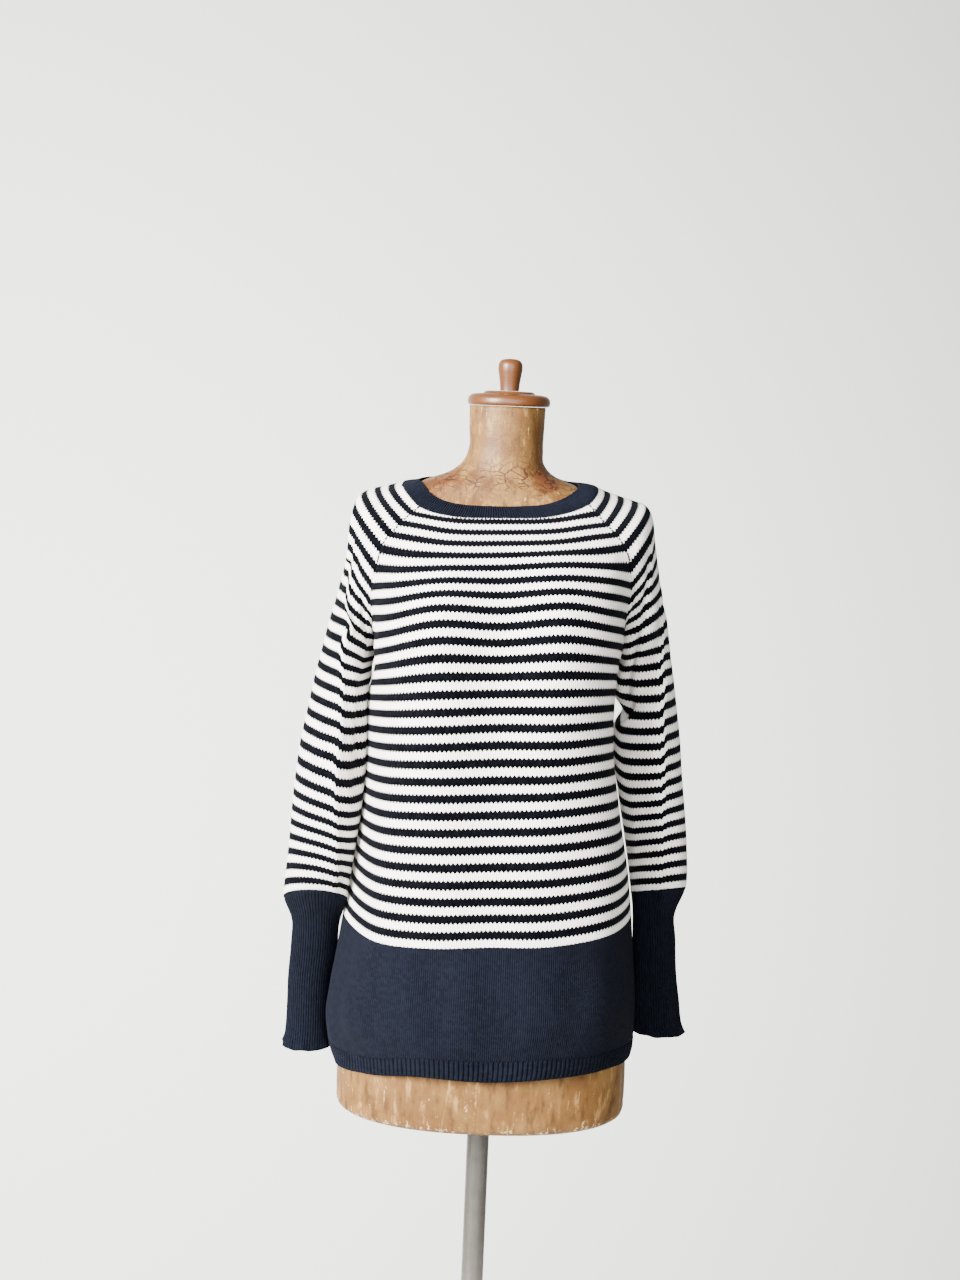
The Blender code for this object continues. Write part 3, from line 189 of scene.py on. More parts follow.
CORNER_LEFT = panel_line(
    0.2, (78, 90, 104, 114, 120, 124, 127.5, 126.5, 126.5, 134.5, 140, 141, 143, 145, 141),
    (-64, -75, -87.5, -98.5, -103.5, -106, -103, -100, -97, -95, -94, -93.5, -93.5, -93, -86),
    (1384.5, 1370.5, 1354.5, 1331, 1306.5, 1280, 1239, 1190, 1116, 1039.5, 961, 903.5, 854.5, 806, 759.5),
)
# Raglan seam of the front panel, from the neckband seam to the underarm.
RAGLAN_RIGHT = in_mm(
    (0, -96.8, -54, 1381.1), (1.235, -111.1, -62, 1369.7), (2.235, -122.3, -67, 1357.1),
    (3.235, -133.5, -70, 1343.7), (4.75, -142.5, -70.5, 1311.5), (5.75, -146.5, -62, 1290),
    (6.75, -147.8, -52, 1271), (7.75, -146.4, -40, 1251.5), (8.75, -144.7, -25, 1230.3),
    (9.75, -142.8, -6, 1209.4),
)
RAGLAN_LEFT = in_mm(
    (0, 95.1, -52, 1392), (1.235, 109.6, -62, 1376.4), (2.235, 120.3, -67, 1365.9),
    (3.235, 131, -70, 1354.1), (4.235, 140.5, -70.8, 1337), (4.75, 143.7, -70, 1323.5),
    (5.75, 146.6, -62, 1303), (6.75, 146, -52, 1285.1), (7.75, 143.6, -40, 1265.7),
    (8.75, 142.4, -25, 1246.3), (9.75, 141.8, -6, 1225.5),
)
# Side seam, from the underarm to the hem rib.
SIDE_RIGHT = in_mm(
    (9.75, -142.8, -6, 1209.4), (10.3, -141.2, -2, 1198.5), (11.2, -144, 7, 1181.8),
    (12.5, -150, 20, 1159), (16.5, -153, 32, 1087), (20.5, -157, 34, 1014), (24.5, -164, 29, 942.5),
    (27.47, -172.5, 22, 888.5), (30, -179.5, 16, 841), (32.5, -187, 10, 790), (33.6, -189.5, 6, 762),
    (34.34, -185.5, 4, 733),
)
SIDE_LEFT = in_mm(
    (9.75, 141.8, -6, 1225.5), (10.3, 137.5, -5, 1214.5), (11.2, 134.5, -4, 1199),
    (12.5, 132.5, -3, 1176), (16.5, 134.5, 0, 1104.5), (20.5, 147, 2, 1032), (24.5, 162.5, 3, 960),
    (27.47, 170.2, 3, 906), (30, 175.5, 2, 855), (32.5, 180.2, 1, 803), (33.6, 181.2, 0, 774),
    (34.34, 181, 0, 751),
)
# Back panel, hidden in the photograph: centre and the line over each shoulder blade.
CENTRE_BACK = panel_line(
    0.15, (-3, 0, 0, 0, 0, 0, 0, 0, 0, 0, 0, 0, 0, 0, 0),
    (74.5, 85.5, 95, 101.5, 106, 109.5, 112, 112.5, 111, 109.5, 110, 112, 115, 117.5, 113),
    (1416.5, 1393, 1366, 1338, 1309.5, 1280.5, 1237, 1183, 1104, 1025, 946, 888, 839, 791, 754),
)
BLADE_RIGHT = panel_line(
    0.1, (-56, -66, -74, -82, -89, -96, -110, -120, -123, -126, -131, -135, -139, -144, -139),
    (66, 78.5, 88.5, 95, 98.5, 100, 93, 88, 86, 85, 84.5, 85, 86.5, 87.5, 83),
    (1412.5, 1389.5, 1362, 1333, 1304, 1273, 1226, 1173, 1095.5, 1018, 941, 884, 835, 785, 744.5),
)
BLADE_LEFT = panel_line(
    0.1, (50, 63, 73, 82, 89, 96, 108, 112, 113, 119, 128, 134, 139, 143, 139),
    (66, 78.5, 88.5, 95, 98.5, 100, 93, 88, 86, 84.5, 83, 83, 84.5, 85, 81),
    (1414.5, 1393, 1366.5, 1339, 1311, 1282, 1237, 1185, 1108, 1031, 953, 896, 848, 799, 758),
)
# Back raglan seam: (row, x, z); how far it lies behind the front seam comes from the sleeve's own round.
BACK_RAGLAN_RIGHT = in_mm(
    (0, -95, 1404.5), (1.5, -108, 1385), (3, -121, 1364), (4.5, -133, 1337), (6, -141, 1306),
    (7.5, -144.5, 1270), (8.75, -144.5, 1237), (9.75, -142.8, 1209.4),
)
BACK_RAGLAN_LEFT = in_mm(
    (0, 89, 1408.5), (1.5, 105, 1388), (3, 119, 1368), (4.5, 132, 1343), (6, 141, 1315),
    (7.5, 143.5, 1283), (8.75, 143, 1252), (9.75, 141.8, 1225.5),
)
# The sleeve's round in the yoke: (row, half angle in degrees, half depth).
YOKE_ROUND = [
    (0.0, 52, 0.0620), (1.5, 60, 0.0670), (3.0, 70, 0.0700), (4.5, 82, 0.0685), (6.0, 97, 0.0630),
    (7.5, 118, 0.0600), (8.6, 140, 0.0580), (9.3, 161, 0.0575), (9.75, 180, 0.0570),
]
# The sleeve's outer line, over the shoulder and down the arm.
OUTER_RIGHT = in_mm(
    (0, -119, 0, 1404.8), (0.75, -132.4, 0, 1401.8), (1.75, -147.9, 0, 1398.4), (2.75, -163, 0, 1393.6),
    (3.4, -171, 0, 1386), (4.4, -175.2, 0, 1368), (5.75, -177.2, 1, 1344), (6.75, -180.1, 2, 1323.9),
    (7.75, -183.8, 3, 1304.2), (8.75, -188.6, 4.5, 1285), (9.75, -192.6, 4, 1266.4),
    (10.75, -197, -4, 1249.9), (12.75, -204.9, -13, 1213.3), (14.75, -213, -17.5, 1177.4),
    (16.75, -219.7, -19.5, 1140.2), (18.75, -227, -19.5, 1101.9), (20.47, -231.3, -17.5, 1066.5),
    (22.47, -234.9, -14.5, 1027.6), (24.47, -237.3, -10.5, 989.6), (26.47, -240.6, -5.5, 949.5),
    (27.47, -242.7, -2.5, 928.2), (28.47, -244.2, 0, 906.2),
)
OUTER_LEFT = in_mm(
    (0, 106.2, -4, 1408.8), (0.75, 117.8, 0, 1404.3), (1.75, 133.7, 0, 1399.7), (2.75, 150.3, 0, 1395),
    (3.75, 165.5, 0, 1389.2), (4.4, 170.5, 0, 1379), (5.75, 175.1, 1, 1353.7), (6.75, 178.7, 2, 1334.4),
    (7.75, 182.5, 3, 1315), (8.75, 186, 4.5, 1295), (9.75, 189.6, 6, 1275.3), (10.75, 192.9, 8, 1255.5),
    (12.75, 201.6, 12, 1219.2), (14.75, 208.7, 15, 1182.3), (16.75, 215.3, 18, 1143),
    (18.75, 221.2, 21, 1105.7), (20.47, 224.9, 25, 1073.6), (22.47, 229.8, 27, 1037.1),
    (24.47, 234.5, 29, 1001.3), (26.47, 237.9, 31, 965.3), (27.47, 239.3, 32.5, 947.6),
    (28.47, 239.1, 33.5, 928.8),
)
# The sleeve's inner line, from the underarm to the cuff.
INNER_RIGHT = in_mm(
    (9.75, -142.8, -6, 1209.4), (10.3, -147.5, -10, 1197.6), (11.2, -148, -17, 1183.5),
    (12.5, -146.8, -24, 1164.4), (16.5, -148.8, -30, 1101.2), (20.5, -152.4, -29, 1037.3),
    (24.5, -160.6, -24, 974.3), (27.47, -166.8, -17, 927.3), (28.47, -168.4, -14, 911.1),
)
INNER_LEFT = in_mm(
    (9.75, 141.8, -6, 1225.5), (10.3, 145.2, 5, 1212.5), (11.2, 141.2, 17, 1195.5),
    (12.5, 138.8, 27, 1174), (13.3, 143, 30, 1160), (14.3, 153, 31, 1144), (15.2, 144, 33, 1128),
    (16.5, 142.5, 35, 1109), (20.5, 152.8, 38, 1045), (24.5, 165.2, 40, 981.5), (27.47, 173, 38, 935),
    (28.47, 175, 36, 919.5),
)
SLEEVE_DEPTH = in_mm(
    (9.75, 57), (12.5, 54.5), (16.5, 50), (20.5, 45.5), (24.5, 41.5), (27.2, 38.5), (28.47, 35),
)
# How far a sleeve's rows stand higher at their front than in the middle, by half depth: (row, right, left).
SLEEVE_LIFT = in_mm(
    (9.75, 0, 0), (15, 0, 3), (19, 1, 7), (22, 6, 10), (25, 12.5, 12), (28.47, 19, 10),
)
# Cuff: (millimetres down from its seam, outer x y z, inner x y z, half depth, lift of its front).
CUFF_RIGHT = in_mm(
    (0, -244.2, 0, 906.2, -168.4, -14, 911.1, 35, 19), (12, -240.8, 4, 895.9, -172.9, -6, 897.8, 31, 16),
    (26, -235.8, 10, 881.8, -177.5, 4, 882.1, 28, 13),
    (66, -235.6, 22, 844.2, -181.3, 20, 839.9, 26.5, 7), (112, -239.5, 35, 797, -185.5, 34, 795, 26, 3),
    (150, -240.5, 41, 759, -187, 42, 759, 26.2, 0), (188, -243, 44, 721.5, -186.5, 46, 722, 27, 0),
    (202, -246.2, 45, 707.5, -185, 47, 708.5, 29, 0),
)
CUFF_LEFT = in_mm(
    (0, 239.1, 33.5, 928.8, 175, 36, 919.5, 35, 10), (12, 234.5, 34.5, 916, 177.2, 36, 908.5, 31, 9),
    (26, 228.5, 36, 900, 178.5, 36.5, 894.5, 28, 8), (66, 230.5, 40, 862, 180.5, 38, 858, 27, 5),
    (112, 234.5, 44, 816, 182.5, 43, 813, 26.2, 2), (150, 240.5, 46.5, 779, 184, 46.5, 777, 26.2, 0),
    (176, 244.5, 48, 754.5, 184.5, 48, 753, 27.2, 0), (188, 249, 48, 742, 184, 48, 743.5, 29, 0),
)
# Hem edge and the neckband's inner edge, as closed rings of (x, y, z) from the centre front towards X > 0.
HEM_EDGE = np.array([
    (0, -125.5, 733), (72, -121.5, 737.5), (139, -83.5, 737), (178.5, 0, 729.5), (138, 78.5, 734.5),
    (0, 108.5, 731.5), (-138, 78.5, 719), (-177.5, 2, 709.5), (-137, -82, 721.5), (-72, -120.5, 734.5),
]) / 1000
NECK_EDGE = np.array([
    (-10.4, -65, 1386.2), (17.8, -65, 1387.9), (45.8, -60, 1391), (64.7, -50, 1396.9),
    (78.2, -36, 1404.4), (83.8, -18, 1411.2), (83.2, 2, 1412.5), (76.5, 21.5, 1412.5), (61, 41, 1415),
    (35, 54.5, 1420), (-5, 59.5, 1422.5), (-45, 54.5, 1419.5), (-72.5, 41, 1412.5), (-87.5, 22, 1409),
    (-96.8, 2, 1406.5), (-93.5, -20, 1401), (-84.6, -36, 1393.2), (-70.7, -50, 1387.6),
    (-47.7, -60, 1385.4),
]) / 1000

# Largest folds: (piece, height mm out of the skin, half width mm, [(row, share across the piece), ...]).
# Share runs over the piece's columns, from a sleeve's front edge and the wearer's right edge of the front.
FOLDS = [
    ("sleeve_right", 3.6, 13, [(4.0, 0.38), (7.5, 0.28), (12.75, 0.235), (18.5, 0.20), (23.2, 0.165),
                               (27.4, 0.15)]),
    ("sleeve_right", -4.2, 12, [(9.2, 0.07), (12.0, 0.09), (16.5, 0.12), (20.0, 0.10)]),
    ("sleeve_right", 2.6, 14, [(10.5, 0.72), (15.0, 0.76), (21.0, 0.80), (26.0, 0.82)]),
    ("sleeve_right", -3.0, 12, [(7.0, 0.86), (10.5, 0.87), (14.0, 0.84)]),
    ("sleeve_left", 3.2, 13, [(10.0, 0.46), (15.2, 0.34), (21.5, 0.29), (24.8, 0.26), (27.6, 0.21)]),
    ("sleeve_left", -3.4, 12, [(7.2, 0.18), (9.0, 0.20), (11.5, 0.18), (14.8, 0.11)]),
    ("sleeve_left", 2.4, 14, [(8.0, 0.70), (13.0, 0.75), (19.0, 0.80)]),
    ("sleeve_left", -2.8, 12, [(11.5, 0.86), (14.5, 0.85), (18.5, 0.88)]),
    ("front", -4.5, 20, [(27.8, 0.39), (30.5, 0.40), (33.4, 0.415)]),
    ("front", 3.4, 20, [(28.2, 0.20), (31.5, 0.193), (33.4, 0.17)]),
    ("front", 2.6, 18, [(28.0, 0.465), (30.5, 0.475), (33.2, 0.485)]),
    ("front", -2.6, 20, [(29.0, 0.70), (31.5, 0.71), (33.4, 0.70)]),
    ("back", -4.0, 24, [(27.0, 0.36), (30.5, 0.34), (33.4, 0.35)]),
    ("back", 3.2, 24, [(28.0, 0.62), (31.0, 0.60), (33.2, 0.63)]),
]

# Dress form: (z, half width, front depth, back depth, squareness, middle x).
FORM_RINGS = np.array([
    (660.2, 169, 103, 96, 2.3, 0), (664, 172.5, 106.5, 99, 2.4, 0), (675, 173.8, 108.5, 100.5, 2.4, 0),
    (700, 174.2, 109.5, 101, 2.4, 0), (735, 173.2, 110, 101.5, 2.4, 0), (800, 168, 109, 102, 2.3, 0),
    (880, 153, 103, 99, 2.2, 0), (960, 132, 95, 90, 2.1, 0), (1020, 123, 91, 83, 2.1, 0),
    (1080, 123, 95, 84, 2.1, 0), (1140, 126, 111, 88, 2.2, 0), (1190, 129, 131, 92, 2.2, 0),
    (1230, 132, 135, 95, 2.2, 0), (1270, 136, 126, 96, 2.2, 0), (1310, 143, 108, 94, 2.2, 0),
    (1345, 156, 92, 89, 2.1, 0), (1370, 165, 76, 82, 2, 0), (1382, 163.5, 67, 78, 1.9, 0),
    (1389, 154, 62, 75, 1.9, 0), (1395, 138, 58.5, 72, 1.9, -2), (1401, 116.5, 56, 69, 2, -4),
    (1407.5, 97, 53.5, 65.5, 2, -6), (1413.5, 82, 50.5, 61, 2, -7), (1420, 64.5, 47.5, 55, 2, -6),
    (1432, 49, 44.5, 47, 2, -4), (1450, 43.3, 42, 43, 2, -1.3), (1475, 43.5, 42, 42.2, 2, -1.3),
    (1499.6, 44, 42.5, 42.5, 2, -1.2),
]) * (0.001, 0.001, 0.001, 0.001, 1, 0.001)
# Turned pieces: (radius, z) up the outside, from the axis back to the axis.
NECK_CAP = [
    (0.0, 1.5000), (0.0455, 1.5000), (0.0474, 1.5018), (0.0478, 1.5050), (0.0470, 1.5088), (0.0440, 1.5118),
    (0.0380, 1.5134), (0.0300, 1.5142), (0.0285, 1.5158), (0.0255, 1.5168), (0.0, 1.5170),
]
CAP_KNOB = [
    (0.0, 1.5173), (0.0110, 1.5173), (0.0111, 1.5200), (0.0116, 1.5250), (0.0123, 1.5300), (0.0132, 1.5355),
    (0.0140, 1.5410), (0.0141, 1.5450), (0.0134, 1.5488), (0.0112, 1.5518), (0.0070, 1.5536), (0.0, 1.5542),
]
POLE = [
    (0.0, 0.0103), (POLE_RADIUS, 0.0103), (POLE_RADIUS, 0.35), (POLE_RADIUS, 0.6897), (0.0, 0.6897),
]
STAND_BASE = [
    (0.0, 0.0), (0.1770, 0.0), (0.1800, 0.0030), (0.1795, 0.0085), (0.1740, 0.0120), (0.1200, 0.0160),
    (0.0600, 0.0210), (0.0330, 0.0260), (0.0240, 0.0360), (0.0230, 0.0600), (0.0215, 0.0640),
    (BORE_RADIUS, 0.0640), (BORE_RADIUS, 0.0100), (0.0, 0.0100),
]


def eased(value):
    """A share from 0 to 1 that starts and ends gently."""
    share = np.clip(value, 0, 1)
    return share * share * (3 - 2 * share)


def hump(value, at, half):
    return np.exp(-(((value - at) / half) ** 2))


def distance_along(grid):
    """How far each point is from the first one of its row, along the row; a single line is one row."""
    step = np.linalg.norm(np.diff(grid, axis=-2), axis=-1)
    return np.concatenate([np.zeros((*step.shape[:-1], 1)), np.cumsum(step, axis=-1)], axis=-1)


def quads_of(g):
    return np.stack([g[:-1, :-1], g[1:, :-1], g[1:, 1:], g[:-1, 1:]], axis=-1).reshape(-1, 4)


def circle(radius, count, z):
    """A level ring of points round the axis at the height z."""
    angle = np.linspace(0, 2 * math.pi, count, endpoint=False)
    return np.column_stack([radius * np.cos(angle), radius * np.sin(angle), np.full(count, z)])


def ring_quads(rings, count):
    """The quads between closed rings of count points."""
    k = np.arange(rings * count).reshape(rings, count)
    j = np.roll(k, -1, axis=1)
    return np.stack([k[:-1], j[:-1], j[1:], k[1:]], axis=-1).reshape(-1, 4).tolist()


def closed_tube(rings, start, end):
    """Points and faces of a stack of rings, closed by fans to the points start and end."""
    count = len(rings[0])
    points = np.concatenate([*rings, [start, end]])
    faces = ring_quads(len(rings), count)
    last = (len(rings) - 1) * count
    faces += [(len(points) - 2, (k + 1) % count, k) for k in range(count)]
    faces += [(len(points) - 1, last + k, last + (k + 1) % count) for k in range(count)]
    return points, faces


def line(table, row):
    """The point of a named line at this row: a smooth curve through its table, still at its ends."""
    t = np.array([r[0] for r in table], float)
    p = np.array([r[1:] for r in table], float)
    if row <= t[0]:
        return p[0].copy()
    if row >= t[-1]:
        return p[-1].copy()
    i = int(np.searchsorted(t, row)) - 1
    h = t[i + 1] - t[i]

    def slope(k):
        if k == 0:
            return (p[1] - p[0]) / (t[1] - t[0])
        if k == len(t) - 1:
            return (p[-1] - p[-2]) / (t[-1] - t[-2])
        a, b = t[k] - t[k - 1], t[k + 1] - t[k]
        return ((p[k] - p[k - 1]) / a * b + (p[k + 1] - p[k]) / b * a) / (a + b)

    u = (row - t[i]) / h
    m0, m1 = slope(i) * h, slope(i + 1) * h
    return (
        (2 * u**3 - 3 * u**2 + 1) * p[i]
        + (u**3 - 2 * u**2 + u) * m0
        + (-2 * u**3 + 3 * u**2) * p[i + 1]
        + (u**3 - u**2) * m1
    )


def at(table, row):
    """As line, but rows above the first whole one are shared out from where each line leaves the neckband."""
    first = table[0][0]
    if row < FIRST_WHOLE_ROW:
        row = first + row / FIRST_WHOLE_ROW * (FIRST_WHOLE_ROW - first)
    return line(table, row)


def through(points, before=None, after=None, steps=CURVE_STEPS):
    """Dense smooth curve through points; before and after, the neighbours, set the end directions."""
    p = [np.asarray(q, float) for q in points]
    p = [2 * p[0] - p[1] if before is None else np.asarray(before, float)] + p
    p = p + [2 * p[-1] - p[-2] if after is None else np.asarray(after, float)]
    pieces = []
    for i in range(1, len(p) - 2):
        a, b, c, d = p[i - 1], p[i], p[i + 1], p[i + 2]
        ta = max(np.linalg.norm(b - a), 1e-6) ** 0.5
        tb = max(np.linalg.norm(c - b), 1e-6) ** 0.5
        tc = max(np.linalg.norm(d - c), 1e-6) ** 0.5
        m1 = tb * ((b - a) / ta - (c - a) / (ta + tb) + (c - b) / tb)
        m2 = tb * ((c - b) / tb - (d - b) / (tb + tc) + (d - c) / tc)
        u = np.linspace(0, 1, steps + 1)[:, None]
        q = (2 * u**3 - 3 * u**2 + 1) * b + (u**3 - 2 * u**2 + u) * m1
        q = q + (-2 * u**3 + 3 * u**2) * c + (u**3 - u**2) * m2
        pieces.append(q if not pieces else q[1:])
    return np.concatenate(pieces)


def even(curve, count):
    """The curve cut in count equal lengths."""
    s = distance_along(curve)
    want = np.linspace(0, s[-1], count + 1)
    return np.stack([np.interp(want, s, curve[:, k]) for k in range(3)], axis=1)


def split_even(points, middle, count, before=None, after=None):
    """A curve through points with count equal columns on each side of points[middle]."""
    curve = through(points, before, after)
    cut = middle * CURVE_STEPS
    return np.concatenate([even(curve[: cut + 1], count), even(curve[cut:], count)[1:]])


def beyond(points, row, before, after):
    """Where a row goes past its panel: straight on at the yoke, round the side below the underarm."""
    share = eased((row - BENDS_FROM_ROW) / (UNDERARM_ROW - BENDS_FROM_ROW))
    first = 2 * points[0] - points[1]
    last = 2 * points[-1] - points[-2]
    return first + share * (before - first), last + share * (after - last)


def row_start(points, starts, curve_share):
    """The row number at which each column of a panel leaves the neckband seam."""
    along = distance_along(np.array(points))
    return np.interp(curve_share, along / along[-1], starts)


def front_points(row):
    yoke = row <= UNDERARM_ROW
    right = at(RAGLAN_RIGHT if yoke else SIDE_RIGHT, row)
    left = at(RAGLAN_LEFT if yoke else SIDE_LEFT, row)
    inner = (CORNER_RIGHT, BUST_RIGHT, CENTRE_FRONT, BUST_LEFT, CORNER_LEFT)
    return [right, *(at(table, row) for table in inner), left]


def front_row(row):
    points = front_points(row)
    ends = beyond(points, row, at(BLADE_RIGHT, row), at(BLADE_LEFT, row))
    return split_even(points, 3, FRONT_SIDE, *ends)


def back_seam(front_table, back_table, row):
    """The back raglan seam's point: as far behind the front seam as the sleeve is deep there."""
    front = line(front_table, row)
    x, z = line(back_table, row)
    angle, depth = line(YOKE_ROUND, row)
    return np.array([x, front[1] + 2 * depth * math.sin(math.radians(angle)), z])


def back_points(row):
    """From the wearer's left edge to the right edge, so that the rings run one way round."""
    yoke = row <= UNDERARM_ROW
    left = back_seam(RAGLAN_LEFT, BACK_RAGLAN_LEFT, row) if yoke else at(SIDE_LEFT, row)
    right = back_seam(RAGLAN_RIGHT, BACK_RAGLAN_RIGHT, row) if yoke else at(SIDE_RIGHT, row)
    return [left, at(BLADE_LEFT, row), at(CENTRE_BACK, row), at(BLADE_RIGHT, row), right]


def back_row(row):
    points = back_points(row)
    ends = beyond(points, row, at(CORNER_LEFT, row), at(CORNER_RIGHT, row))
    return split_even(points, 2, BACK_SIDE, *ends)


def round_row(top, low, across, angle, count):
    """An arc from -angle to angle round a sleeve: top is its outer point, low the middle of its chord."""
    reach = (top - low) / (1 - math.cos(angle))
    middle = top - reach
    psi = np.linspace(-angle, angle, 2 * ARC_STEPS + 1)[:, None]
    curve = middle + reach * np.cos(psi) + across * np.sin(psi)
    return np.concatenate([even(curve[: ARC_STEPS + 1], count), even(curve[ARC_STEPS:], count)[1:]])


def sleeve_row(side, row):
    """One row of a sleeve, from its front edge over its outer line to its back edge."""
    outer = OUTER_RIGHT if side < 0 else OUTER_LEFT
    top = line(outer, row)
    if row >= UNDERARM_ROW:
        low = line(INNER_RIGHT if side < 0 else INNER_LEFT, row)
        depth = line(SLEEVE_DEPTH, row)[0]
        lift = line(SLEEVE_LIFT, row)[0 if side < 0 else 1]
        return round_row(top, low, np.array([0, depth, -lift]), math.pi, SLEEVE_SIDE)
    seam = RAGLAN_RIGHT if side < 0 else RAGLAN_LEFT
    front = line(seam, row)
    back = back_seam(seam, BACK_RAGLAN_RIGHT if side < 0 else BACK_RAGLAN_LEFT, row)
    angle = math.radians(line(YOKE_ROUND, row)[0])
    return round_row(top, (front + back) / 2, (back - front) / (2 * math.sin(angle)), angle, SLEEVE_SIDE)


def cuff_row(side, down):
    here = line(CUFF_RIGHT if side < 0 else CUFF_LEFT, down)
    return round_row(here[0:3], here[3:6], np.array([0, here[6], -here[7]]), math.pi, SLEEVE_SIDE)


def ring_at(ring, angles, centre):
    """A closed ring's points at these angles round the centre."""
    curve = through(list(ring) + [ring[0]], ring[-1], ring[1], 24)
    a = np.unwrap(np.arctan2(curve[:, 1] - centre[1], curve[:, 0] - centre[0]))
    want = np.array(angles)
    want = a[0] + np.mod(want - a[0], 2 * math.pi)
    return np.stack([np.interp(want, a, curve[:, k]) for k in range(3)], axis=1)


class Cloth:
    """All grids welded where they share an edge, to be smoothed and pushed clear as one skin."""

    def __init__(self, pieces):
        self.names = list(pieces)
        self.shapes = {n: pieces[n].shape[:2] for n in self.names}
        every = np.concatenate([pieces[n].reshape(-1, 3) for n in self.names])
        keys = np.round(every / 2e-6).astype(np.int64)
        _, first, index = np.unique(keys, axis=0, return_index=True, return_inverse=True)
        self.points = every[first].copy()
        index = index.reshape(-1)
        self.index = {}
        start = 0
        for n in self.names:
            r, c = self.shapes[n]
            self.index[n] = index[start : start + r * c].reshape(r, c)
            start += r * c
        quads = []
        edges = []
        for n in self.names:
            g = self.index[n]
            quads.append(quads_of(g))
            edges.append(np.stack([g[:-1], g[1:]], axis=-1).reshape(-1, 2))
            edges.append(np.stack([g[:, :-1], g[:, 1:]], axis=-1).reshape(-1, 2))
        self.quads = np.concatenate(quads)
        edges = np.unique(np.sort(np.concatenate(edges), axis=1), axis=0)
        edges = edges[edges[:, 0] != edges[:, 1]]
        self.a = np.concatenate([edges[:, 0], edges[:, 1]])
        self.b = np.concatenate([edges[:, 1], edges[:, 0]])
        self.count = np.bincount(self.a, minlength=len(self.points))

    def normals(self):
        p = self.points
        q = self.quads
        n = np.cross(p[q[:, 2]] - p[q[:, 0]], p[q[:, 3]] - p[q[:, 1]])
        out = np.zeros_like(p)
        for k in range(4):
            np.add.at(out, q[:, k], n)
        return out / np.maximum(np.linalg.norm(out, axis=1), 1e-12)[:, None]

    def smooth(self, held, passes, share):
        """Evens the skin along its normals, so rows stay where they are; a second step restores the size."""
        for _ in range(passes):
            for amount in (share, -share * 1.04):
                n = self.normals()
                mean = np.zeros_like(self.points)
                np.add.at(mean, self.a, self.points[self.b])
                mean /= self.count[:, None]
                move = ((mean - self.points) * n).sum(axis=1)[:, None] * n * amount
                move[held] = 0
                self.points += move

    def grid(self, name):
        return self.points[self.index[name]]


def tree_of(points, faces):
    return BVHTree.FromPolygons([Vector(p) for p in points], [tuple(int(i) for i in f) for f in faces])


def push_clear(points, groups, tree, need):
    """Moves each group of points out until its middle is need clear of the tree's skin."""
    for group in groups:
        middle = Vector(points[group].mean(axis=0))
        nearest, normal, _, away = tree.find_nearest(middle)
        gap = float((middle - nearest).dot(normal))
        if gap < need and away < PUSH_REACH:
            points[group] += np.array(normal) * (need - gap)


def clear_of_form(cloth, tree):
    """The skin's points stand clear of the form, and so do the middles of its edges and faces."""
    every = np.arange(len(cloth.points))[:, None]
    edges = np.unique(np.sort(np.stack([cloth.a, cloth.b], axis=1), axis=1), axis=0)
    for _ in range(PUSHES):
        push_clear(cloth.points, every, tree, FORM_CLEAR)
        push_clear(cloth.points, edges, tree, FORM_CLEAR - FLAT_LESS)
        push_clear(cloth.points, cloth.quads, tree, FORM_CLEAR - FLAT_LESS)


def clear_of_body(cloth):
    """The sleeves and cuffs hang clear of the body, from the fold at the underarm down."""
    fold = YOKE_ROWS.index(UNDERARM_FOLD_ROW)
    seam = len(YOKE_ROWS)
    body = [quads_of(cloth.index[piece][fold:]) for piece in ("front", "back")]
    tree = tree_of(cloth.points, np.concatenate(body + [quads_of(cloth.index["hem_rib"])]))
    for piece in ("sleeve_right", "sleeve_left", "cuff_right", "cuff_left"):
        g = cloth.index[piece]
        free, tube = g.ravel(), g
        if piece.startswith("sleeve"):
            free, tube = np.append(g[fold + 1 : seam - 1, 1:-1].ravel(), g[seam:].ravel()), g[seam:]
        for _ in range(PUSHES):
            push_clear(cloth.points, np.unique(free)[:, None], tree, TUBE_CLEAR)
            push_clear(cloth.points, quads_of(tube), tree, TUBE_CLEAR - TUBE_FLAT_LESS)


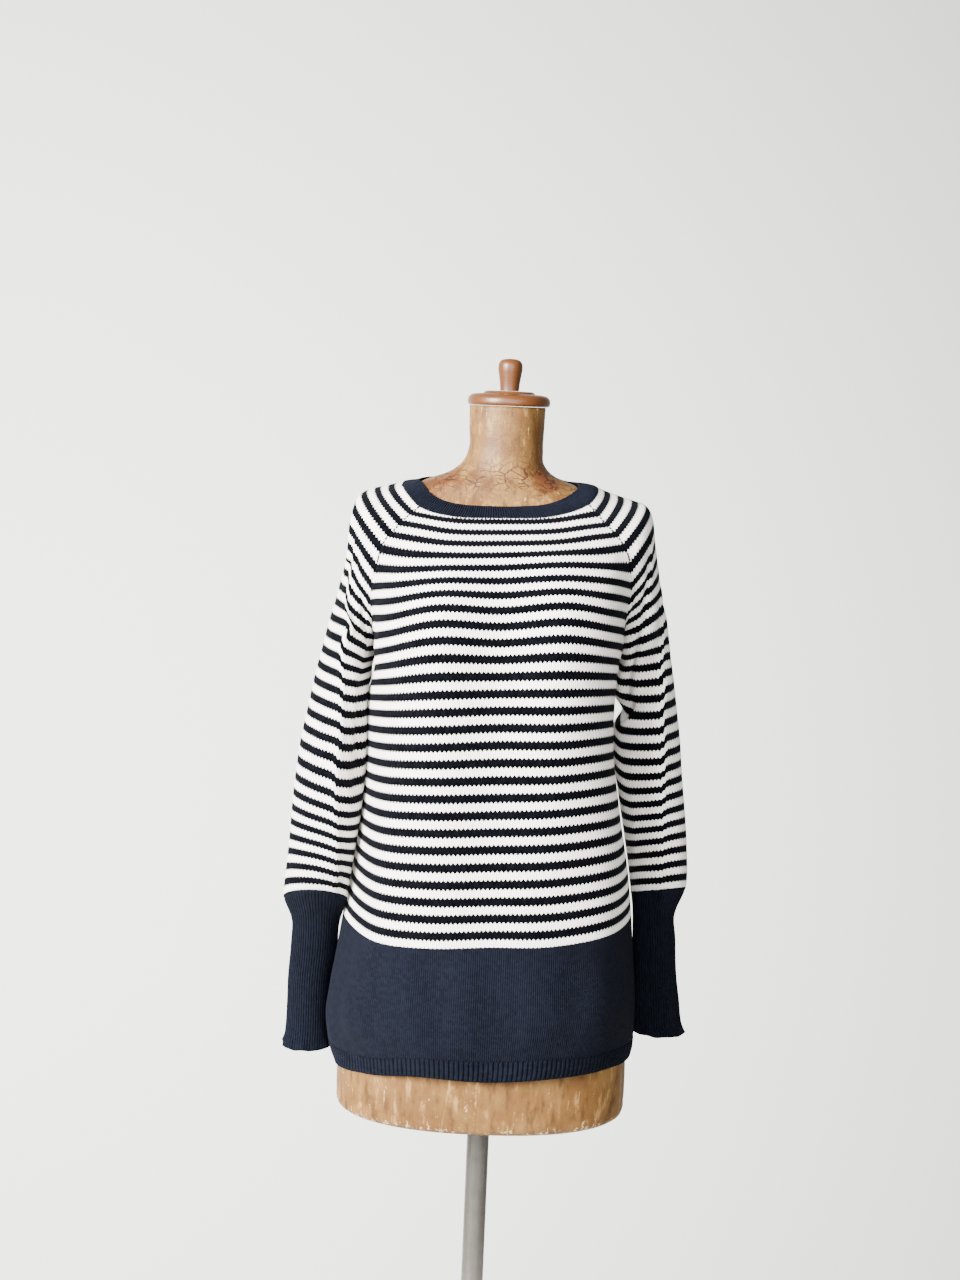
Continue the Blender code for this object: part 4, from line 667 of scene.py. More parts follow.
# Smaller creases, made on the finer skin: (piece, height mm, half width mm, [(row, share across), ...]).
CREASES = [
    ("sleeve_right", 2.0, 4, [(4.6, 0.235), (5.8, 0.222), (8.8, 0.243), (10.8, 0.268), (13.4, 0.235),
                              (16.0, 0.219), (20.0, 0.208), (24.2, 0.172), (27.3, 0.140), (28.3, 0.13)]),
    ("sleeve_right", -1.5, 6, [(5.4, 0.185), (8.8, 0.205), (10.8, 0.23), (13.4, 0.198), (16.0, 0.182),
                               (20.0, 0.170), (24.2, 0.136), (28.2, 0.095)]),
    ("sleeve_right", -4.0, 6, [(7.0, 0.09), (9.0, 0.11), (11.2, 0.125), (13.2, 0.125), (15.0, 0.12),
                               (17.5, 0.10)]),
    ("sleeve_right", 1.2, 6, [(10.8, 0.05), (13.5, 0.09), (17.0, 0.14)]),
    ("sleeve_right", -1.2, 7, [(15.0, 0.33), (17.5, 0.36), (20.5, 0.35)]),
    ("sleeve_right", 1.4, 6, [(4.0, 0.60), (8.5, 0.71), (15.0, 0.77), (22.0, 0.81), (28.0, 0.84)]),
    ("sleeve_right", -1.4, 7, [(9.0, 0.90), (12.5, 0.86), (16.0, 0.88)]),
    ("sleeve_left", 2.0, 4, [(8.5, 0.41), (10.0, 0.392), (13.4, 0.335), (17.7, 0.329), (21.9, 0.305),
                             (26.5, 0.27), (28.3, 0.24)]),
    ("sleeve_left", -1.6, 6, [(9.0, 0.365), (13.4, 0.298), (17.7, 0.292), (21.9, 0.268), (26.5, 0.235)]),
    ("sleeve_left", 1.6, 5, [(4.8, 0.258), (7.5, 0.22), (9.8, 0.223), (12.6, 0.232), (15.4, 0.154)]),
    ("sleeve_left", -2.0, 6, [(5.5, 0.20), (9.0, 0.17), (12.4, 0.175), (15.0, 0.10)]),
    ("sleeve_left", 1.0, 6, [(16.8, 0.19), (21.0, 0.16), (25.6, 0.12)]),
    ("sleeve_left", 1.3, 6, [(5.0, 0.62), (9.0, 0.72), (16.0, 0.78), (23.0, 0.82)]),
    ("front", 1.2, 8, [(28.0, 0.23), (30.5, 0.24), (33.6, 0.22)]),
    ("front", -1.2, 8, [(28.4, 0.265), (30.8, 0.27), (33.0, 0.26)]),
    ("front", -1.0, 9, [(28.0, 0.15), (31.0, 0.14), (33.4, 0.13)]),
    ("front", 1.1, 9, [(27.8, 0.34), (30.8, 0.345), (33.5, 0.36)]),
    ("front", 1.0, 9, [(29.5, 0.60), (31.5, 0.61), (33.6, 0.60)]),
    ("front", -0.9, 9, [(28.5, 0.80), (31.0, 0.82), (33.4, 0.84)]),
    ("back", -1.3, 9, [(27.6, 0.22), (30.0, 0.20), (33.5, 0.21)]),
    ("back", 1.2, 9, [(28.0, 0.45), (31.5, 0.46), (33.6, 0.45)]),
    ("back", -1.1, 9, [(28.6, 0.75), (31.0, 0.77), (33.5, 0.76)]),
    ("back", 1.2, 10, [(9.0, 0.10), (12.0, 0.14), (15.5, 0.15)]),
    ("back", 1.2, 10, [(9.0, 0.90), (12.0, 0.86), (15.5, 0.85)]),
]
# Pressed creases of the sleeves: [row, share across, how many rows lower the stripes are inside it].
PRESSED = {
    "sleeve_right": [(4.5, 0.235, 0.60), (5.8, 0.222, 0.68), (8.8, 0.243, 0.66), (10.8, 0.268, 0.55),
                     (13.4, 0.235, 0.35), (16.0, 0.219, 0.30), (20.0, 0.208, 0.34), (24.2, 0.172, 0.36),
                     (27.3, 0.140, 0.30), (28.47, 0.130, 0.25)],
    "sleeve_left": [(9.0, 0.400, 0.0), (11.5, 0.365, 0.45), (13.4, 0.335, 0.50), (17.7, 0.329, 0.50),
                    (21.9, 0.305, 0.50), (26.5, 0.270, 0.45), (28.47, 0.240, 0.20)],
}
LEVEL_SLOPE = {"sleeve_right": 0.20, "sleeve_left": -0.12}   # fall of a hanging stripe for each metre across


def stand(name, data):
    """Puts a mesh, a lamp or a camera in the scene."""
    made = bpy.data.objects.new(name, data)
    bpy.context.scene.collection.objects.link(made)
    return made


def camera_and_light():
    """The photograph's view: a lens of about 50 mm at 2.1 m, above the shoulders and tilted down."""
    lens = bpy.data.cameras.new("camera")
    camera = bpy.context.scene.camera = stand("camera", lens)
    lens.sensor_width = 36
    lens.lens = CAMERA_LENS
    level = Matrix.Rotation(math.radians(90), 4, "X")
    pitch = Matrix.Rotation(-CAMERA_DOWN, 4, "X")
    roll = Matrix.Rotation(CAMERA_ROLL, 4, "Z")
    camera.matrix_world = Matrix.Translation(CAMERA_AT) @ pitch @ level @ roll

    def lamp(name, place, target, size, power, colour):
        light = bpy.data.lights.new(name, "AREA")
        light.shape = "DISK"
        light.size = size
        light.energy = power
        light.color = colour
        placed = stand(name, light)
        placed.location = place
        placed.rotation_euler = (Vector(target) - Vector(place)).to_track_quat("-Z", "Y").to_euler()
        placed.visible_camera = False

    lamp("window", WINDOW_AT, (0, 0, 1.05), 1.8, KEY_POWER, (1.0, 0.985, 0.96))
    lamp("room", ROOM_AT, (0, 0, 1.0), 2.6, FILL_POWER, (0.97, 0.985, 1.0))

    # The wall behind is bright, most of all low on the left. The rest of the room is dim.
    world = bpy.data.worlds.new("room_light")
    bpy.context.scene.world = world
    world.use_nodes = True
    tree = world.node_tree
    way = node(tree, "ShaderNodeTexCoord", out="Object")
    toward = node(tree, "ShaderNodeVectorMath", {"operation": "DOT_PRODUCT"}, {0: way, 1: WALL_WAY}, "Value")
    toward = node(tree, MATH, {"operation": "MAXIMUM"}, {0: toward, 1: 0.0})
    glow = node(tree, MATH, {"operation": "POWER"}, {0: toward, 1: 4.0})
    strength = node(tree, MATH, TIMES_PLUS, {0: glow, 1: WALL_LIGHT, 2: ROOM_LIGHT})
    background = tree.nodes["Background"]
    background.inputs["Color"].default_value = linear("#F0F0EC")
    tree.links.new(strength, background.inputs["Strength"])


def floor():
    """A round pale floor under the stand, which ends just below the main view."""
    ring = circle(FLOOR_RADIUS, 96, 0.0)
    mesh = bpy.data.meshes.new("floor")
    mesh.from_pydata(ring.tolist(), [], [tuple(range(len(ring)))])
    mesh.materials.append(pale_plaster())
    stand("floor", mesh)


def linear(code):
    """An sRGB hex colour as the linear values that a shader takes."""
    out = []
    for k in (1, 3, 5):
        v = int(code[k : k + 2], 16) / 255
        out.append(v / 12.92 if v <= 0.04045 else ((v + 0.055) / 1.055) ** 2.4)
    return (*out, 1.0)


def node(tree, kind, settings=None, links=None, out=0):
    """Adds a node with its settings and links and gives one output. A link is a socket, or a value to set."""
    made = tree.nodes.new(kind)
    for key, value in (settings or {}).items():
        setattr(made, key, value)
    for key, value in (links or {}).items():
        if isinstance(value, bpy.types.NodeSocket):
            tree.links.new(value, made.inputs[key])
        else:
            made.inputs[key].default_value = value
    return made.outputs[out]


def new_material(name):
    """A material, a way to add nodes to it, its shader, and the place of a point on the piece."""
    made = bpy.data.materials.new(name)
    made.use_nodes = True
    add = partial(node, made.node_tree)
    return made, add, made.node_tree.nodes["Principled BSDF"], add("ShaderNodeTexCoord", out="Object")


def finish_with(made, shader, values, links):
    """Sets the shader's own even values and links its varying ones."""
    for key, value in values.items():
        shader.inputs[key].default_value = value
    for key, source in links.items():
        made.node_tree.links.new(source, shader.inputs[key])
    return made


def pale_plaster():
    """Painted floor, matt and nearly even, with faint clouding."""
    made, add, shader, place = new_material("painted_floor")
    cloud = add(NOISE, None, {"Vector": place, "Scale": 1.3, "Detail": 4.0})
    tone = add(MIX, COLOURS, {0: cloud, 6: linear("#DCDBD5"), 7: linear("#E6E5E0")}, 2)
    return finish_with(made, shader, {"Roughness": 0.85}, {"Base Color": tone})


def knit_material(name, striped_until_row=None, ribs=False):
    """Stocking-stitch cotton: each stitch a V of two round legs, matt, with a thin bloom of fibre ends.

    The piece's own wale and row attributes place the stitches, so stripes and stitches follow the cloth,
    and a stripe's edge has a small downward tooth at each wale. Painted shade darkens the yarn between
    the stitches' legs, more of it darkens the ribs' grooves, and a little painted highlight lightens the
    ribs' crests. The real stitches are too fine to show in the render, so they are drawn STITCH_SHOWN
    times as large.
    """
    made, add, shader, place = new_material(name)
    wale = add("ShaderNodeAttribute", {"attribute_name": "wale"}, out="Fac")
    row = add("ShaderNodeAttribute", {"attribute_name": "row"}, out="Fac")
    course = add(MATH, TIMES, {0: row, 1: COURSES / STITCH_SHOWN})
    across = add(MATH, {"operation": "FRACT"}, {0: wale})
    off = add(MATH, {"operation": "SUBTRACT"}, {0: across, 1: 0.5})
    off = add(MATH, {"operation": "ABSOLUTE"}, {0: off})
    side = add(MATH, TIMES, {0: off, 1: 2.0})
    stitch = add(MATH, TIMES_PLUS, {0: side, 1: STITCH_SLANT, 2: course})
    along = add(MATH, {"operation": "FRACT"}, {0: stitch})

    this_wale = add(MATH, {"operation": "FLOOR"}, {0: wale})
    this_stitch = add(MATH, {"operation": "FLOOR"}, {0: stitch})
    cell = add("ShaderNodeCombineXYZ", None, {"X": this_wale, "Y": this_stitch})
    each = add("ShaderNodeTexWhiteNoise", {"noise_dimensions": "2D"}, {"Vector": cell}, "Value")
    cloud = add(NOISE, None, {"Vector": place, "Scale": 9.0, "Detail": 3.0})
    bloom = add(MATH, TIMES, {0: cloud, 1: 0.5})

    dark, light, fibre = (linear(code) for code in (NAVY_RIB if ribs else NAVY_BLOCK))
    colour = add(MIX, COLOURS, {0: each, 6: dark, 7: light}, 2)
    colour = add(MIX, COLOURS, {0: bloom, 6: colour, 7: fibre}, 2)
    if striped_until_row:
        stripe = add(MIX, COLOURS, {0: each, 6: linear(NAVY_STRIPE[0]), 7: linear(NAVY_STRIPE[1])}, 2)
        above = add(MATH, {"operation": "LESS_THAN"}, {0: row, 1: striped_until_row})
        colour = add(MIX, COLOURS, {0: above, 6: colour, 7: stripe}, 2)
        white = add(MIX, COLOURS, {0: each, 6: linear(WHITE_LOW), 7: linear(WHITE_HIGH)}, 2)
        white = add(MIX, COLOURS, {0: bloom, 6: white, 7: linear(WHITE_WARM)}, 2)
        repeat = add(MATH, {"operation": "ADD"}, {0: stitch, 1: -0.5 * STITCH_SLANT})
        repeat = add(MATH, {"operation": "DIVIDE"}, {0: repeat, 1: COURSES / STITCH_SHOWN})
        repeat = add(MATH, {"operation": "FRACT"}, {0: repeat})
        is_white = add(MATH, {"operation": "LESS_THAN"}, {0: repeat, 1: WHITE_SHARE})
        is_white = add(MATH, TIMES, {0: is_white, 1: above})
        colour = add(MIX, COLOURS, {0: is_white, 6: colour, 7: white}, 2)

    # Each leg of a stitch is round across and along.
    leg = add(MATH, {"operation": "PINGPONG"}, {0: side, 1: 0.5})
    leg = add(MATH, TIMES, {0: leg, 1: math.pi})
    leg = add(MATH, {"operation": "SINE"}, {0: leg})
    bead = add(MATH, TIMES, {0: along, 1: math.pi})
    bead = add(MATH, {"operation": "SINE"}, {0: bead})
    bead = add(MATH, TIMES_PLUS, {0: bead, 1: 0.5, 2: 0.5})
    height = add(MATH, TIMES, {0: leg, 1: bead})
    fuzz = add(NOISE, None, {"Vector": place, "Scale": 900.0, "Detail": 2.0})
    height = add(MATH, TIMES_PLUS, {0: fuzz, 1: 0.35, 2: height})
    bump = add("ShaderNodeBump", None, {"Height": height, "Strength": 0.9, "Distance": STITCH_DEEP})
    # Painted shade: the yarn's colour is darkened between the stitches' legs, down to 1 - STITCH_SHADE.
    shade = add(MATH, TIMES_PLUS, {0: height, 1: STITCH_SHADE, 2: 1 - STITCH_SHADE})
    if ribs:
        # A rib's crest is at a whole wale, and the groove half a wale on. Painted shade darkens the yarn in
        # the groove, and the crest is painted a little lighter.
        groove_shade = add(MATH, TIMES_PLUS, {0: off, 1: 1.5, 2: 0.35})
        shade = add(MATH, TIMES, {0: shade, 1: groove_shade})
    shade = add("ShaderNodeCombineXYZ", None, {"X": shade, "Y": shade, "Z": shade})
    colour = add(MIX, {"data_type": "RGBA", "blend_type": "MULTIPLY"}, {0: 1.0, 6: colour, 7: shade}, 2)
    values = {"Roughness": 0.9, "Specular IOR Level": KNIT_GLOSS, "Sheen Weight": KNIT_SHEEN,
              "Sheen Roughness": 0.5, "Sheen Tint": linear("#B9BED6")}
    return finish_with(made, shader, values, {"Base Color": colour, "Normal": bump})


def cotton_yarn():
    """Two-ply navy cotton, as the bands are linked with: matt, slightly uneven and hairy."""
    made, add, shader, place = new_material("navy_cotton_yarn")
    uneven = add(NOISE, None, {"Vector": place, "Scale": 420.0, "Detail": 3.0})
    tone = add(MIX, COLOURS, {0: uneven, 6: linear(NAVY_RIB[0]), 7: linear(NAVY_RIB[1])}, 2)
    bump = add("ShaderNodeBump", None, {"Height": uneven, "Strength": 0.5, "Distance": 0.0003})
    values = {"Roughness": 0.9, "Specular IOR Level": KNIT_GLOSS}
    return finish_with(made, shader, values, {"Base Color": tone, "Normal": bump})


def aged_paper():
    """Varnished paper over papier-mache: warm tan gone brown in blotches, scratched, its edges rubbed pale.

    The creased attribute is where age has cracked the varnish, the worn one where the edge has been knocked.
    """
    made, add, shader, place = new_material("aged_varnished_paper")
    blotch = add(NOISE, None, {"Vector": place, "Scale": 14.0, "Detail": 7.0, "Roughness": 0.66})
    tall = add("ShaderNodeMapping", None, {"Vector": place, "Scale": (1.0, 1.0, 0.30)})
    streak = add(NOISE, None, {"Vector": tall, "Scale": 85.0, "Detail": 5.0, "Roughness": 0.62})
    fine = add(NOISE, None, {"Vector": place, "Scale": 170.0, "Detail": 5.0, "Roughness": 0.72})
    worn = add("ShaderNodeAttribute", {"attribute_name": "worn"}, out="Fac")
    creased = add("ShaderNodeAttribute", {"attribute_name": "creased"}, out="Fac")

    # Scratches are the edges of long thin cells, and rubbed edges are small pale specks.
    way = {"Vector": place, "Rotation": (0.3, 0.2, 0.4), "Scale": (1.0, 1.0, 0.12)}
    slanted = add("ShaderNodeMapping", None, way)
    bent = add("ShaderNodeVectorMath", TIMES_PLUS, {0: fine, 1: (0.012, 0.012, 0.012), 2: slanted})
    cells = {"feature": "DISTANCE_TO_EDGE"}
    scratch = add("ShaderNodeTexVoronoi", cells, {"Vector": bent, "Scale": 34.0}, "Distance")
    speck = add(NOISE, None, {"Vector": bent, "Scale": 210.0, "Detail": 4.0, "Roughness": 0.6})
    speck = add(MATH, TIMES_PLUS, {0: worn, 1: 0.14, 2: speck})

    # Cracks at the neck are wide irregular cells with dark edges and stained varnish between them.
    warp = add(NOISE, None, {"Vector": place, "Scale": 24.0, "Detail": 4.0}, "Color")
    bent = add("ShaderNodeVectorMath", TIMES_PLUS, {0: warp, 1: (0.030, 0.030, 0.030), 2: place})
    bent = add("ShaderNodeMapping", None, {"Vector": bent, "Scale": (1.0, 1.0, 2.0)})
    crack = add("ShaderNodeTexVoronoi", cells, {"Vector": bent, "Scale": 70.0}, "Distance")

    # Where each layer shows: its source, two values of it, and how much shows at each of them.
    share = {}
    for key, source, low, high, at_low, at_high in (
        ("tan", blotch, 0.38, 0.62, 0.0, 1.0), ("brown", streak, 0.34, 0.50, 0.7, 0.0),
        ("light", streak, 0.55, 0.68, 0.0, 0.65), ("scratch", scratch, 0.0, 0.022, 1.0, 0.0),
        ("scratch breaks", streak, 0.46, 0.60, 0.0, 0.55), ("rubbed", speck, 0.69, 0.74, 0.0, 1.0),
        ("stain", blotch, 0.47, 0.60, 0.0, 1.0), ("crack", crack, 0.0, 0.13, 1.0, 0.0),
        ("crack breaks", streak, 0.42, 0.55, 0.0, 1.0),
    ):
        share[key] = add(RANGE, SMOOTH, {"Value": source, "From Min": low, "From Max": high,
                                         "To Min": at_low, "To Max": at_high})
    scratch = add(MATH, TIMES, {0: share["scratch"], 1: share["scratch breaks"]})
    stain = add(MATH, TIMES, {0: share["stain"], 1: creased})
    crack = add(MATH, TIMES, {0: share["crack"], 1: creased})
    crack = add(MATH, TIMES, {0: crack, 1: share["crack breaks"]})
    tone = linear(PAPER_PALE)
    for shows, code in (
        (share["tan"], PAPER_TAN), (share["brown"], PAPER_BROWN), (share["light"], PAPER_LIGHT),
        (scratch, PAPER_LIGHT), (share["rubbed"], PAPER_RUBBED), (stain, PAPER_STAIN), (crack, PAPER_CRACK),
    ):
        tone = add(MIX, COLOURS, {0: shows, 6: tone, 7: linear(code)}, 2)

    height = add(MATH, TIMES_PLUS, {0: crack, 1: -1.4, 2: blotch})
    height = add(MATH, TIMES_PLUS, {0: fine, 1: 0.5, 2: height})
    bump = add("ShaderNodeBump", None, {"Height": height, "Strength": 0.4, "Distance": 0.0010})
    rough = add(MATH, TIMES_PLUS, {0: fine, 1: 0.25, 2: 0.42})
    links = {"Base Color": tone, "Normal": bump, "Roughness": rough}
    return finish_with(made, shader, {"Specular IOR Level": 0.22}, links)


def varnished_wood():
    """Turned beech stained brown under worn varnish: fine lengthwise grain and a soft shine."""
    made, add, shader, place = new_material("varnished_beech")
    laid = add("ShaderNodeMapping", None, {"Vector": place, "Scale": (1.0, 6.0, 9.0)})
    grain = add(NOISE, None, {"Vector": laid, "Scale": 60.0, "Detail": 5.0, "Roughness": 0.6})
    patch = add(NOISE, None, {"Vector": place, "Scale": 38.0, "Detail": 3.0})
    patch = add(MATH, TIMES, {0: patch, 1: 0.5})
    tone = add(MIX, COLOURS, {0: grain, 6: linear(WOOD_DARK), 7: linear(WOOD_LIGHT)}, 2)
    tone = add(MIX, COLOURS, {0: patch, 6: tone, 7: linear(WOOD_PATCH)}, 2)
    bump = add("ShaderNodeBump", None, {"Height": grain, "Strength": 0.25, "Distance": 0.0004})
    values = {"Roughness": 0.42, "Specular IOR Level": 0.3, "Coat Weight": 0.12, "Coat Roughness": 0.25}
    return finish_with(made, shader, values, {"Base Color": tone, "Normal": bump})


def tarnished_steel():
    """Drawn steel tube, once bright: grey-brown tarnish in streaks along it, a dull shine between."""
    made, add, shader, place = new_material("tarnished_steel")
    tall = add("ShaderNodeMapping", None, {"Vector": place, "Scale": (1.0, 1.0, 0.08)})
    streak = add(NOISE, None, {"Vector": tall, "Scale": 130.0, "Detail": 4.0})
    spot = add(NOISE, None, {"Vector": place, "Scale": 70.0, "Detail": 5.0, "Roughness": 0.65})
    stained = add(MATH, {"operation": "POWER"}, {0: spot, 1: 3.0})
    tone = add(MIX, COLOURS, {0: streak, 6: linear("#8F8D88"), 7: linear("#5F5C57")}, 2)
    tone = add(MIX, COLOURS, {0: stained, 6: tone, 7: linear("#4A3B30")}, 2)
    rough = add(MATH, TIMES_PLUS, {0: spot, 1: 0.35, 2: 0.20})
    bump = add("ShaderNodeBump", None, {"Height": streak, "Strength": 0.15, "Distance": 0.0003})
    links = {"Base Color": tone, "Normal": bump, "Roughness": rough}
    return finish_with(made, shader, {"Metallic": 0.9}, links)


def carry(name, mesh):
    """A finished piece, which rides on the part's one body."""
    made = stand(name, mesh)
    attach(made, "root")
    return made


def put(name, points, faces, material, attributes=None):
    """A piece with a smooth mesh, its attributes and its material."""
    mesh = bpy.data.meshes.new(name)
    mesh.from_pydata([tuple(map(float, p)) for p in points], [], [tuple(map(int, f)) for f in faces])
    mesh.update()
    mesh.shade_smooth()
    for key, values in (attributes or {}).items():
        stored = mesh.attributes.new(key, "FLOAT", "POINT")
        stored.data.foreach_set("value", np.asarray(values, np.float32))
    mesh.materials.append(material)
    return carry(name, mesh)


def work_out_skin():
    """The middle skin of every sewn piece, welded where pieces meet."""
    pieces = {
        "front": np.array([front_row(r) for r in BODY_ROWS]),
        "back": np.array([back_row(r) for r in BODY_ROWS]),
        "sleeve_right": np.array([sleeve_row(-1, r)[::-1] for r in SLEEVE_ROWS]),
        "sleeve_left": np.array([sleeve_row(1, r) for r in SLEEVE_ROWS]),
    }
    for side, name, table in ((-1, "cuff_right", CUFF_RIGHT), (1, "cuff_left", CUFF_LEFT)):
        rows = [cuff_row(side, down)[:: side] for down in np.linspace(0, table[-1][0], CUFF_LINES)]
        pieces[name] = np.array(rows)
    seam = np.concatenate([pieces["front"][0], pieces["sleeve_left"][0][1:], pieces["back"][0][1:],
                           pieces["sleeve_right"][0][1:]])
    edge = ring_at(NECK_EDGE, np.arctan2(seam[:, 1], seam[:, 0] - NECK_MIDDLE), (NECK_MIDDLE, 0.0))
    pieces["neckband"] = between_rings(edge, seam, BAND_STEPS, NECKBAND_CROWN)
    top = np.concatenate([pieces["front"][-1], pieces["back"][-1][1:]])
    edge = ring_at(HEM_EDGE, np.arctan2(top[:, 1], top[:, 0]), (0.0, 0.0))
    pieces["hem_rib"] = between_rings(top, edge, BAND_STEPS, HEM_CROWN)
    return Cloth(pieces)


def between_rings(top, low, steps, crown):
    """A band from one ring to another, its middle standing out by crown."""
    share = np.linspace(0, 1, steps + 1)[:, None, None]
    band = top + (low - top) * share
    step = np.roll(top, -1, axis=0) - np.roll(top, 1, axis=0)
    step[0] = step[-1] = top[1] - top[-2]
    out = np.cross(low - top, step)
    out /= np.maximum(np.linalg.norm(out, axis=1), 1e-9)[:, None]
    return band + out * crown * np.sin(share * math.pi)


def finer(grid, factor=FINER):
    """A smooth grid with factor times the rows and columns that passes through the given one."""
    for axis in (0, 1):
        g = np.moveaxis(grid, axis, 0)
        padded = np.concatenate([2 * g[:1] - g[1:2], g, 2 * g[-1:] - g[-2:-1]])
        a, b, c, d = padded[:-3], padded[1:-2], padded[2:-1], padded[3:]
        parts = []
        for k in range(factor):
            u = k / factor
            bend = (2 * a - 5 * b + 4 * c - d) * u * u + (3 * b - a - 3 * c + d) * u**3
            parts.append(0.5 * (2 * b + (c - a) * u + bend))
        out = np.stack(parts, axis=1).reshape(-1, *g.shape[1:])
        grid = np.moveaxis(np.concatenate([out, g[-1:]]), 0, axis)
    return grid


def finer_rows(rows):
    """The row numbers of a grid that finer has made finer."""
    return finer(np.array(rows)[:, None, None].repeat(2, 1))[:, 0, 0]


def rows_and_wales(piece, grid, rows):
    """The stitch attributes of a fine grid: its row number and its distance in wales from the middle."""
    count = grid.shape[1]
    share = np.linspace(0, 1, count)
    start = np.zeros(count)
    if piece == "front":
        start = row_start(front_points(0), FRONT_STARTS, share)
    if piece == "back":
        start = row_start(back_points(0), BACK_STARTS, share)
    shared = np.minimum(rows / FIRST_WHOLE_ROW, 1.0)[:, None]
    row = np.maximum(rows[:, None], 0) + start * (1 - shared)
    along = distance_along(grid)
    along = along - along[:, count // 2][:, None]
    pitch = np.full(len(rows), WALE * STITCH_SHOWN)
    if piece in ("front", "back"):
        under = int(np.searchsorted(rows, UNDERARM_ROW))
        width = along[:, -1] - along[:, 0]
        pitch[under:] *= width[under:] / width[under]
    return row, along / pitch[:, None] + 0.5


def crease_heights(table, piece, grid, rows, edge=1.5):
    """How far each point of a grid is moved out by soft ridges and troughs along listed lines."""
    out = np.zeros(grid.shape[:2])
    along = distance_along(grid)
    for name, high, half, path in table:
        if name != piece:
            continue
        first, last = path[0][0], path[-1][0]
        for i, row in enumerate(rows):
            ends = eased(min(row - first, last - row) / edge + 0.5)
            out[i] += high / 1000 * ends * hump(along[i], line(path, row)[0] * along[i, -1], half / 1000)
    return out


def level_rows(piece, grid, row, rows):
    """Below the yoke a sleeve's stripes hang level from its outer edge and step down at its crease."""
    height = grid[..., 2] + LEVEL_SLOPE[piece] * grid[..., 0]
    outer = np.abs(grid[..., 0]).argmax(axis=1)
    edge = np.minimum.accumulate(height[np.arange(len(grid)), outer])
    level = np.interp(-height, -edge, rows)
    along = distance_along(grid)
    inner = np.zeros_like(level)
    for i, at_row in enumerate(rows):
        share, lower = line(PRESSED[piece], at_row)
        inner[i] = 1 / (1 + np.exp((along[i] - share * along[i, -1]) / CREASE_SHARP))
        level[i] -= lower * inner[i] * np.minimum(along[i] / CREASE_BLEND, 1)
    outside, inside, ends = (eased((rows[:, None] - first) / many) for first, many in
                             (LEVEL_OUTSIDE, LEVEL_INSIDE, LEVEL_ENDS))
    return row + (level - row) * (outside * (1 - inner) + inside * inner) * (1 - ends)


def grid_normals(grid):
    n = np.cross(np.gradient(grid, axis=0), np.gradient(grid, axis=1))
    return n / np.maximum(np.linalg.norm(n, axis=-1), 1e-12)[..., None]


def shell(name, grid, normal, thick, step, material, row, wale):
    """A thin closed piece of cloth: a fine outer skin, an inner skin of every step-th point, and its rims."""
    rows, cols = grid.shape[:2]
    outer = grid + normal * thick / 2
    pick_i = np.unique(np.append(np.arange(0, rows, step), rows - 1))
    pick_j = np.unique(np.append(np.arange(0, cols, step), cols - 1))
    inner = (grid - normal * thick / 2)[np.ix_(pick_i, pick_j)]
    o = np.arange(rows * cols).reshape(rows, cols)
    i = np.arange(len(pick_i) * len(pick_j)).reshape(len(pick_i), len(pick_j)) + rows * cols
    faces = quads_of(o).tolist() + quads_of(i)[:, ::-1].tolist()

    def rim(fine, coarse, picks, turn):
        for k in range(len(picks) - 1):
            loop = list(fine[picks[k] : picks[k + 1] + 1]) + [coarse[k + 1], coarse[k]]
            faces.append(loop if turn else loop[::-1])

    rim(o[0], i[0], pick_j, True)
    rim(o[-1], i[-1], pick_j, False)
    rim(o[:, 0], i[:, 0], pick_i, False)
    rim(o[:, -1], i[:, -1], pick_i, True)
    points = np.concatenate([outer.reshape(-1, 3), inner.reshape(-1, 3)])
    extra = {}
    for key, values in (("row", row), ("wale", wale)):
        extra[key] = np.concatenate([values.ravel(), values[np.ix_(pick_i, pick_j)].ravel()])
    return put(name, points, faces, material, extra)


def ribbed_band(name, grid, normal, ribs, per_rib, rows_down, material, rise, flare=0.0, join=0):
    """A ribbed band: its ring cut evenly, per_rib columns to a rib, each a rounded crest between grooves."""
    count = ribs * per_rib
    grid = np.concatenate([grid[:, join:], grid[:, 1 : join + 1]], axis=1)
    normal = np.concatenate([normal[:, join:], normal[:, 1 : join + 1]], axis=1)
    band, out = [], []
    for k, s in enumerate(distance_along(grid)):
        want = np.linspace(0, s[-1], count + 1)
        both = np.concatenate([grid[k], normal[k]], axis=1)
        both = np.stack([np.interp(want, s, both[:, m]) for m in range(6)], axis=1)
        band.append(both[:, :3])
        out.append(both[:, 3:])
    band, out = np.array(band), np.array(out)
    share = np.linspace(0, 1, len(grid))
    want = np.linspace(0, 1, rows_down + 1)
    place = np.clip(np.searchsorted(share, want, side="right") - 1, 0, len(grid) - 2)
    u = ((want - share[place]) / (share[place + 1] - share[place]))[:, None, None]
    band = band[place] * (1 - u) + band[place + 1] * u
    out = out[place] * (1 - u) + out[place + 1] * u
    out /= np.linalg.norm(out, axis=-1)[..., None]
    phase = np.arange(count + 1) / per_rib
    crest = np.cos(2 * math.pi * phase)
    crest = np.sign(crest) * np.abs(crest) ** 0.7
    near_end = np.minimum(want, 1 - want)[:, None] * rows_down
    full = np.clip(near_end / 1.5, 0.35, 1.0)
    band = band + out * (crest * full * rise)[..., None]
    if flare:
        turn = 2 * math.pi * phase / ribs
        wave = np.sin(turn * 7 + 0.6) + 0.6 * np.sin(turn * 11 + 2.0)
        low = np.clip((want - FLARE_FROM) / (1 - FLARE_FROM), 0, 1)[:, None] ** 2
        band = band + out * (low * wave * flare)[..., None]
        drop = np.clip((want - DROP_FROM) / (1 - DROP_FROM), 0, 1)[:, None] ** 2
        band[..., 2] += drop * wave * flare * 0.5
    length = distance_along(grid[:, 0])[-1]
    row = (want * length / COURSE_HIGH / COURSES)[:, None] * np.ones(count + 1)
    wale = phase[None, :] * np.ones(rows_down + 1)[:, None]
    return shell(name, band, out, RIB_WALL - rise, 2, material, row, wale)


